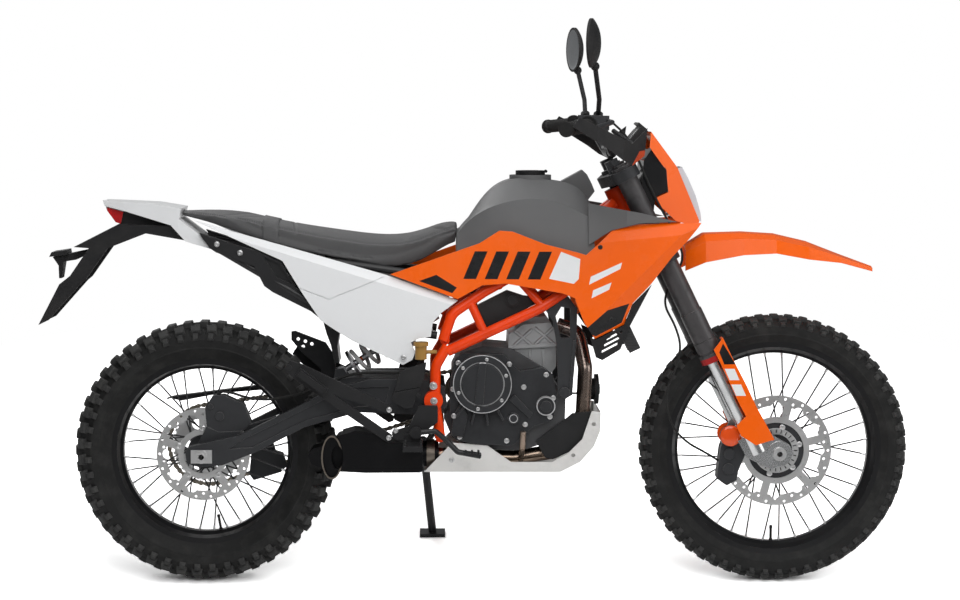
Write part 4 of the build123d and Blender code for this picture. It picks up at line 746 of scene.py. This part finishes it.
# %% Padded seat
def pad_from(name, node, voxel=0.005, inset=0.003, cap=0.006):
    """A cushion blown up from a copy of a CAD node."""
    pad = fresh(name, nodes[node].data.copy())
    pad.data.transform(PARKED.inverted())
    applied(pad, "WELD", merge_threshold=0.0001)
    applied(pad, "REMESH", mode="VOXEL", voxel_size=voxel)
    applied(pad, "SMOOTH", factor=0.5, iterations=4)
    for vertex in pad.data.vertices:
        vertex.co -= vertex.normal * inset
    rest = [vertex.co.copy() for vertex in pad.data.vertices]
    held = pad.vertex_groups.new(name="held")
    held.add([v.index for v in pad.data.vertices if v.normal.z < -0.35], 1.0, "REPLACE")
    cloth = pad.modifiers.new("Cloth", "CLOTH")
    settings = cloth.settings
    settings.vertex_group_mass = "held"
    settings.use_pressure, settings.uniform_pressure_force = True, 4
    settings.effector_weights.gravity = 0
    settings.quality, settings.tension_stiffness, settings.compression_stiffness = 6, 12, 12
    scene = bpy.context.scene
    for step in range(1, 21):
        scene.frame_set(step)
    blown = pad.evaluated_get(bpy.context.evaluated_depsgraph_get()).data
    moved = [vertex.co.copy() for vertex in blown.vertices]
    pad.modifiers.remove(cloth)
    scene.frame_set(1)
    for vertex, was, now in zip(pad.data.vertices, rest, moved):
        step = now - was
        vertex.co = was + step * min(1, cap / max(step.length, 1e-9))
    return pad


# %% [markdown]
# ## Seams, strap and stitches
# A seam runs along each shoulder where the top panel meets the side panels, and one crosses the seat
# ahead of the passenger strap. Both are pressed into the finished pad, and the shoulder seams are
# stitched: short threads set on the surface by casting rays down onto it.

# %% Seams pressed in
SEAT_HALF = [(-58, 46), (0, 66), (154, 94), (300, 104), (420, 100), (520, 90), (585, 78), (656, 58)]
SEAM_IN = 13
CROSS_SEAM, CROSS_LEAN = 0.232, 0.12


def seam_at(x):
    """Distance of the shoulder seam from the middle, in metres, at a place along the machine."""
    for (ax, ay), (bx, by) in zip(SEAT_HALF, SEAT_HALF[1:]):
        if x <= bx * MM:
            share = (x / MM - ax) / (bx - ax)
            return (ay + (by - ay) * share - SEAM_IN) * MM
    return (SEAT_HALF[-1][1] - SEAM_IN) * MM


def pressed(pad, depth=0.0026, reach=0.006):
    """Presses the shoulder seams and the cross seam into the pad."""
    for vertex in pad.data.vertices:
        x, y, z = vertex.co
        if vertex.normal.z < 0.2:
            continue
        gap = min(abs(abs(y) - seam_at(x)), abs(x - CROSS_SEAM - abs(y) * CROSS_LEAN))
        if gap < reach:
            vertex.co -= vertex.normal * depth * (0.5 + 0.5 * cos(pi * gap / reach))
    return pad


cushion = pad_from("seat_cushion", "seat")
applied(cushion, "SUBSURF", levels=1, render_levels=1)
pressed(cushion)
seat_tree = BVHTree.FromPolygons(
    [v.co.copy() for v in cushion.data.vertices], [list(p.vertices) for p in cushion.data.polygons]
)
finished(cushion, seat_vinyl, "chassis", 0)
bpy.ops.object.shade_smooth()
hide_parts("seat")
print("seat faces", len(cushion.data.polygons))


# %% Strap and threads
def on_seat(x, y, z=1.2, way=(0, 0, -1)):
    """Where a ray meets the seat, and the surface's normal there."""
    place, normal, _, _ = seat_tree.ray_cast(Vector((x, y, z)), Vector(way))
    return place, normal


STRAP_BACK, STRAP_FRONT, SEAT_CORE = 157, 197, 0.9
THREAD_PITCH, THREAD_GAP, THREADS = 6, 0.0035, 112


def strap(name, low, high, across=34, along=5):
    """A flat band over the seat from side to side, laid on it by rays towards its core."""
    bm = bmesh.new()
    grid = []
    for i in range(along + 1):
        x = (low + (high - low) * i / along) * MM
        row = []
        for j in range(across + 1):
            turn = radians(-104 + 208 * j / across)
            core = Vector((x, 0, SEAT_CORE))
            out = Vector((0, sin(turn), cos(turn)))
            place, normal, _, _ = seat_tree.ray_cast(core + out * 0.3, -out)
            row.append(bm.verts.new(place + normal * 0.0006))
        grid.append(row)
    for a, b in zip(grid, grid[1:]):
        for k in range(across):
            bm.faces.new((a[k], b[k], b[k + 1], a[k + 1]))
    bmesh.ops.recalc_face_normals(bm, faces=bm.faces)
    mesh = bpy.data.meshes.new(name)
    bm.to_mesh(mesh)
    bm.free()
    band = fresh(name, mesh)
    top = max(band.data.polygons, key=lambda face: face.center.z)
    if top.normal.z < 0:
        band.data.flip_normals()
    applied(band, "SOLIDIFY", thickness=0.0024, offset=1.0)
    return applied(band, "BEVEL", width=0.0006, segments=1)


band = finished(strap("passenger_strap", STRAP_BACK, STRAP_FRONT), seat_vinyl, "chassis", 50)

stitch = turned("stitch", [(0, -2.2), (0.55, -1.5), (0.7, 0), (0.55, 1.5), (0, 2.2)], 6)
stitch.data.transform(Matrix.Rotation(pi / 2, 4, "Y"))
places = []
for side in (1, -1):
    for k in range(THREADS):
        x = (-36 + THREAD_PITCH * k) * MM
        if STRAP_BACK - 5 < x / MM < STRAP_FRONT + 5:
            continue
        for offset in (-THREAD_GAP, THREAD_GAP):
            hit = on_seat(x, side * (seam_at(x) + offset))
            if hit[0] and hit[1].z > 0.3:
                turn = hit[1].to_track_quat("Z", "X").to_matrix().to_4x4()
                places.append(Matrix.Translation(hit[0]) @ turn)
threads = repeated("seat_stitches", stitch, places)
bpy.data.objects.remove(stitch)
finished(threads, thread, "chassis", 60)
print("stitches", len(places))

# %% [markdown]
# ## Bolts
# Each bolt sits on the surface that a ray from the side meets first, turned to face the way that
# surface faces. The head is one turned profile with a sunk socket, repeated at every place.

# %% A surface to cast rays on
def tree_of(*names):
    """The surfaces of several nodes, set upright, ready for rays."""
    points, faces = [], []
    back = PARKED.inverted()
    for name in names:
        first = len(points)
        mesh = nodes[name].data
        points += [back @ vertex.co for vertex in mesh.vertices]
        faces += [[first + k for k in face.vertices] for face in mesh.polygons]
    return BVHTree.FromPolygons(points, faces)


def facing(place, normal, sunk=0.0):
    """A frame at a place with Z along a direction."""
    turn = normal.to_track_quat("Z", "X").to_matrix().to_4x4()
    return Matrix.Translation(place - normal * sunk) @ turn


def bolt_head(radius):
    """A cap screw on a washer, with a sunk socket."""
    h = 0.75 * radius
    profile = [(0, -0.4), (1.45 * radius, -0.4), (1.5 * radius, 0.5), (1.05 * radius, 0.8)]
    profile += [(radius, 0.85 * h), (0.88 * radius, h), (0.52 * radius, h)]
    profile += [(0.46 * radius, 0.4 * h), (0, 0.4 * h)]
    return turned("bolt", profile, 12)


def bolts(name, on, body, radius, places, sides=(-1, 1), finish=None):
    """Bolt heads on what a ray from each side meets at places (X, Z)."""
    tree, head, at = tree_of(*on), bolt_head(radius), []
    for side in sides:
        for px, pz in places:
            start_at = Vector((px * MM, side * 0.6, pz * MM))
            place, normal, _, _ = tree.ray_cast(start_at, Vector((0, -side, 0)))
            if place is None or place.y * side < 0.02:
                continue
            normal = normal if normal.y * side > 0.5 else Vector((0, side, 0))
            at.append(facing(place, normal, 0.0006))
    row = repeated(name, head, at)
    bpy.data.objects.remove(head)
    return finished(row, finish or bright_steel, body, 40)


CASE_BOLTS = [(656, 582), (643, 515), (645, 447), (660, 392), (780, 382), (827, 424), (890, 444), (898, 492)]
CASE_BOLTS += [(880, 552), (823, 520), (786, 579)]
CLUTCH_RING = 64
CLUTCH_BOLTS = [
    (CLUTCH_AT[0] + CLUTCH_RING * cos(radians(a)), CLUTCH_AT[1] + CLUTCH_RING * sin(radians(a)))
    for a in range(20, 380, 60)
]
FRAME_BOLTS = [(593, 527), (594, 488), (684, 690), (689, 666)]
TRIM_BOLTS = [(481, 469), (480, 398), (497, 414), (41, 883), (100, 861)]
bolts("case_bolts", ("engine_covers", "crankcase"), "chassis", 4.6, CASE_BOLTS)
bolts("clutch_bolts", ("engine_covers",), "chassis", 3.6, CLUTCH_BOLTS, (-1,))
bolts("frame_bolts", ("main_frame", "engine_mounts"), "chassis", 7, FRAME_BOLTS)
bolts("trim_bolts", ("subframe", "footpegs", "heel_guards", "main_frame"), "chassis", 5, TRIM_BOLTS)
bolts("skid_bolts", ("skid_plate",), "chassis", 5.5, [(1003, 423), (951, 343), (640, 330)])
bolts("panel_bolts", ("side_panels",), "chassis", 5.5, [(517, 598)])
bolts(
    "shroud_bolts", ("tank_shrouds",), "chassis", 4.5, [(1012, 880), (1040, 700)],
    finish=black_paint
)
print("bolts in place")

# %% [markdown]
# ## Wheels
# A nipple sits where each spoke enters the rim, and a valve stem stands between two spokes. The spokes
# lean to alternate sides, so the nipples do too.

# %% Nipples, valves and disc bobbins
SPOKES = 36


def nipples(name, body, axle, rim_radius, hub_radius, hub_out, sweep=46):
    """Turned nipples on the spokes of one wheel, laid along each spoke."""
    nipple = turned("nipple", [(0, -5), (3.4, -5), (3.6, -3), (3.1, 3), (2.6, 11), (0, 11.5)], 8)
    places = []
    for k in range(SPOKES):
        side = 1 if k % 2 else -1
        lead = sweep if (k // 2) % 2 else -sweep
        at_rim = 2 * pi * (k + 0.5) / SPOKES
        at_hub = at_rim + radians(lead)
        end = Vector((rim_radius * cos(at_rim), side * 0.005, rim_radius * sin(at_rim)))
        foot = Vector((hub_radius * cos(at_hub), side * hub_out, hub_radius * sin(at_hub)))
        places.append(Matrix.Translation(axle) @ facing(end, (foot - end).normalized()))
    ring_of = repeated(name, nipple, places)
    bpy.data.objects.remove(nipple)
    return finished(ring_of, bright_steel, body, 50)


def valve(name, body, axle, rim_radius, turn):
    """A capped valve stem that stands inwards from the rim."""
    stem = turned(name, [(0, -4), (4.5, -4), (4.5, 3), (3.4, 4), (3.4, 30), (4, 31), (4, 38), (0, 39)], 12)
    out = Vector((cos(turn), 0, sin(turn)))
    stem.data.transform(Matrix.Translation(axle) @ facing(out * rim_radius, -out))
    return finished(stem, rubber, body, 40)


nipples("front_nipples", "front_wheel", FRONT_AXLE, 0.247, 0.034, 0.030)
nipples("rear_nipples", "rear_wheel", REAR_AXLE, 0.214, 0.038, 0.034)
valve("front_valve", "front_wheel", FRONT_AXLE, 0.246, radians(-90))
valve("rear_valve", "rear_wheel", REAR_AXLE, 0.213, radians(-80))


def bobbins(name, body, axle, radius, across, count, out, lead=0.0):
    """Rivets that join a brake disc to its carrier, seen on the disc's outer face."""
    rivet = turned("rivet", [(0, 0), (7.5, 0), (7.5, 1.2), (6, 1.8), (4, 1.8), (3.4, 0.9), (0, 0.9)], 14)
    places = []
    for k in range(count):
        turn = radians(lead) + 2 * pi * k / count
        spot = Vector((radius * MM * cos(turn), across * MM, radius * MM * sin(turn)))
        places.append(Matrix.Translation(axle) @ facing(spot, Vector((0, out, 0))))
    row = repeated(name, rivet, places)
    bpy.data.objects.remove(rivet)
    return finished(row, bright_steel, body, 40)


bobbins("front_bobbins", "front_wheel", FRONT_AXLE, 62, -69, 6, -1, 15)
bobbins("rear_bobbins", "rear_wheel", REAR_AXLE, 66, -83, 5, -1, 18)

# %% [markdown]
# ## Chain
# The CAD chain is one closed loop. Its outer plates are laid on it here: a plate is two eyes and a
# waist, and each second link of the 112 has one on both sides. The path is the belt round two
# circles, so a place and a heading follow from the distance run along it.

# %% Chain plates
LINKS, CHAIN_Y, CHAIN_HALF = 112, 88, 6
REAR_AT, FRONT_AT = Vector((0, 340.5)), Vector((662, 492))
REAR_RUN, FRONT_RUN = 106, 46
between = FRONT_AT - REAR_AT
LINE = atan2(between.y, between.x)
RUN = sqrt(between.length ** 2 - (REAR_RUN - FRONT_RUN) ** 2)
SPREAD = atan2(REAR_RUN - FRONT_RUN, RUN)
FRONT_WRAP, REAR_WRAP = (pi - 2 * SPREAD) * FRONT_RUN, (pi + 2 * SPREAD) * REAR_RUN
WHOLE = 2 * RUN + FRONT_WRAP + REAR_WRAP


def chain_at(s):
    """Place in side view and heading, after a distance along the chain from the rear wheel's top."""
    s %= WHOLE
    up = LINE - SPREAD
    if s < RUN:
        foot = REAR_AT + REAR_RUN * Vector((-sin(up), cos(up)))
        return foot + s * Vector((cos(up), sin(up))), up
    s -= RUN
    if s < FRONT_WRAP:
        turn = up + pi / 2 - s / FRONT_RUN
        return FRONT_AT + FRONT_RUN * Vector((cos(turn), sin(turn))), turn - pi / 2
    s -= FRONT_WRAP
    low = LINE + SPREAD
    if s < RUN:
        foot = FRONT_AT + FRONT_RUN * Vector((sin(low), -cos(low)))
        return foot - s * Vector((cos(low), sin(low))), low + pi
    turn = low - pi / 2 - (s - RUN) / REAR_RUN
    return REAR_AT + REAR_RUN * Vector((cos(turn), sin(turn))), turn - pi / 2


def link_plate(pitch, eye=5.6, waist=3.6, thick=1.2):
    """An outer plate, flat on z = 0, along X, with the heads of its two pins."""
    rim_points = []
    for end in (1, -1):
        for k in range(7):
            turn = radians(-66 + 22 * k) + (0 if end > 0 else pi)
            rim_points.append((end * pitch / 2 + eye * cos(turn), eye * sin(turn)))
        rim_points.append((0, end * waist))
    bm = bmesh.new()
    base = bm.faces.new([bm.verts.new((x * MM, y * MM, 0)) for x, y in rim_points])
    top = bmesh.ops.extrude_face_region(bm, geom=[base])["geom"]
    for item in top:
        if isinstance(item, bmesh.types.BMVert):
            item.co.z = thick * MM
    bmesh.ops.recalc_face_normals(bm, faces=bm.faces)
    mesh = bpy.data.meshes.new("plate")
    bm.to_mesh(mesh)
    bm.free()
    plate = fresh("plate", mesh)
    heads = []
    for end in (1, -1):
        head = turned("head", [(0, 0.2), (2.4, 0.2), (2.4, 1.8), (1.6, 2.2), (0, 2.2)], 8)
        head.data.transform(Matrix.Translation((end * pitch / 2 * MM, 0, 0)))
        heads.append(head)
    return joined([plate] + heads)


plate = link_plate(WHOLE / LINKS)
places = []
for k in range(LINKS // 2):
    spot, heading = chain_at((2 * k + 0.5) * WHOLE / LINKS)
    for side in (1, -1):
        across = Vector((0, side, 0))
        along = Vector((cos(heading), 0, sin(heading)))
        frame_of = Matrix((along, across.cross(along), across)).transposed().to_4x4()
        middle = mm(spot.x, CHAIN_Y + side * (CHAIN_HALF - 0.1), spot.y)
        places.append(Matrix.Translation(middle) @ frame_of)
plates = repeated("chain_plates", plate, places)
bpy.data.objects.remove(plate)
finished(plates, chain_steel, "chassis", 30)
print("chain plates", len(places))

# %% Rider's controls
# Mirror glass: a slightly domed disc let into the rim of each head, on its rear face.
MIRROR_AT, MIRROR_TURN = (972, 330, 1386), radians(14)
mirror_face = [(0, 1.6), (20, 1.4), (40, 0.9), (53, 0.2), (55.5, -0.6), (55.5, -2.2), (0, -2.2)]
for side, name in ((1, "left_mirror_glass"), (-1, "right_mirror_glass")):
    glass = turned(name, mirror_face, 48)
    turn = Matrix.Rotation(MIRROR_TURN * side, 4, "Z") @ Matrix.Rotation(radians(-90), 4, "Y")
    x, y, z = MIRROR_AT
    glass.data.transform(Matrix.Translation(mm(x, y * side, z)) @ turn)
    finished(glass, mirror_glass, "steering", 40)

# %% Display, grips and reflector
screen = start(bpy.ops.mesh.primitive_cube_add, size=1)
screen.name = "display_glass"
screen.data.transform(Matrix.Diagonal((0.052, 0.1, 0.003, 1)))
applied(screen, "BEVEL", width=0.0012, segments=2)
tilt = Matrix.Translation(mm(1110, 0, 1150)) @ Matrix.Rotation(radians(-50), 4, "Y")
screen.data.transform(tilt @ Matrix.Translation(mm(-4, 0, 11.6)))
finished(screen, dark_glass, "steering", 40)

BAR = [mm(1008, 205, 1190), mm(913, 400, 1178)]
for side, name in ((1, "left_grip_ribs"), (-1, "right_grip_ribs")):
    rib = turned("rib", [(15.8, -1.3), (17.6, -0.8), (17.6, 0.8), (15.8, 1.3)], 20, closed=True)
    flip = Matrix.Diagonal((1, side, 1, 1))
    a, b = flip @ BAR[0], flip @ BAR[1]
    places = [facing(a.lerp(b, 0.42 + 0.021 * k), (b - a).normalized()) for k in range(25)]
    finished(repeated(name, rib, places), rubber, "steering", 40)
    bpy.data.objects.remove(rib)

REFLECTOR_AT = (1353, 393)
tree = tree_of("front_caliper", "fork_guards", "fork_sliders")
reflector_profile = [(0, 4.5), (18, 4.2), (24, 3), (26, 1.5), (27, 0), (27, -3), (0, -3)]
for side, name in ((1, "left_reflector"), (-1, "right_reflector")):
    disc = turned(name, reflector_profile, 28)
    x, z = REFLECTOR_AT
    disc.data.transform(facing(mm(x, 0, z), Vector((0, side, 0))))
    hit = tree.ray_cast(mm(x, 400 * side, z), Vector((0, -side, 0)))
    if hit[0] is None:
        bpy.data.objects.remove(disc)
        continue
    disc.data.transform(Matrix.Translation((0, hit[0].y + 0.001 * side, 0)))
    finished(disc, amber_lens, "steering", 40)
print("controls made")

# %% [markdown]
# ## Stage and light
# A white floor and a white surround, and four broad lamps: one high on the camera's side, one above,
# one behind for the rims of the shapes, and one from the front. Near the machine a camera ray sees the
# floor's own light and shadow, lifted to white where nothing shades it. Further off it sees plain white.

# %% Floor, surround and lamps
floor = start(bpy.ops.mesh.primitive_plane_add, size=60)
floor.name = "studio_floor"
white = bpy.data.materials.new("studio white")
white.use_nodes = True
tree = white.node_tree
tree.nodes.clear()


def shader(kind, **sockets):
    """A node of the floor's material, its sockets set to numbers or linked."""
    node = tree.nodes.new("ShaderNode" + kind)
    for key, value in sockets.items():
        key = int(key[1:]) if key[1:].isdigit() else key
        if hasattr(value, "is_output"):
            tree.links.new(value, node.inputs[key])
        else:
            node.inputs[key].default_value = value
    return node.outputs


place = shader("TexCoord")["Object"]
reach = shader("VectorMath", _0=place)
reach[0].node.operation = "LENGTH"
far = shader("MapRange", Value=reach["Value"], **{"From Min": 1.5, "From Max": 2.6})[0]
real = shader("BsdfDiffuse", Color=(0.93, 0.93, 0.93, 1))[0]
lit = shader("BsdfDiffuse", Color=(2.4, 2.4, 2.4, 1))[0]
glow = shader("Emission", Color=(1, 1, 1, 1), Strength=1.0)[0]
seen = shader("MixShader", _0=far, _1=lit, _2=glow)[0]
camera_ray = shader("LightPath")["Is Camera Ray"]
whole = shader("MixShader", _0=camera_ray, _1=real, _2=seen)[0]
shader("OutputMaterial", Surface=whole)
floor.data.materials.append(white)

world = bpy.data.worlds.new("studio")
bpy.context.scene.world = world
world.use_nodes = True
surround = world.node_tree.nodes["Background"]
surround.inputs["Color"].default_value = (1, 1, 1, 1)
ray = world.node_tree.nodes.new("ShaderNodeLightPath")
level = world.node_tree.nodes.new("ShaderNodeMapRange")
level.inputs["To Min"].default_value = 0.16
level.inputs["To Max"].default_value = 1.0
world.node_tree.links.new(ray.outputs["Is Camera Ray"], level.inputs["Value"])
world.node_tree.links.new(level.outputs[0], surround.inputs["Strength"])

LAMPS = (
    # name, place, aim, size, watts
    ("key", (0.3, -3.2, 3.6), (0.0, 0.0, 0.6), 3.0, 85),
    ("front", (3.6, -1.6, 2.0), (0.2, 0.0, 0.7), 2.2, 30),
    ("top", (0.0, -0.6, 4.6), (0.0, 0.0, 0.6), 3.6, 80),
    ("rim", (-1.5, 3.2, 3.0), (0.0, 0.0, 0.8), 2.5, 60),
)
for name, place, aim, size, watts in LAMPS:
    lamp = start(bpy.ops.object.light_add, type="AREA", location=place)
    lamp.name = name
    lamp.data.size, lamp.data.energy = size, watts
    lamp.rotation_euler = (Vector(aim) - Vector(place)).to_track_quat("-Z", "Y").to_euler()

bpy.context.scene.view_settings.view_transform = "Standard"
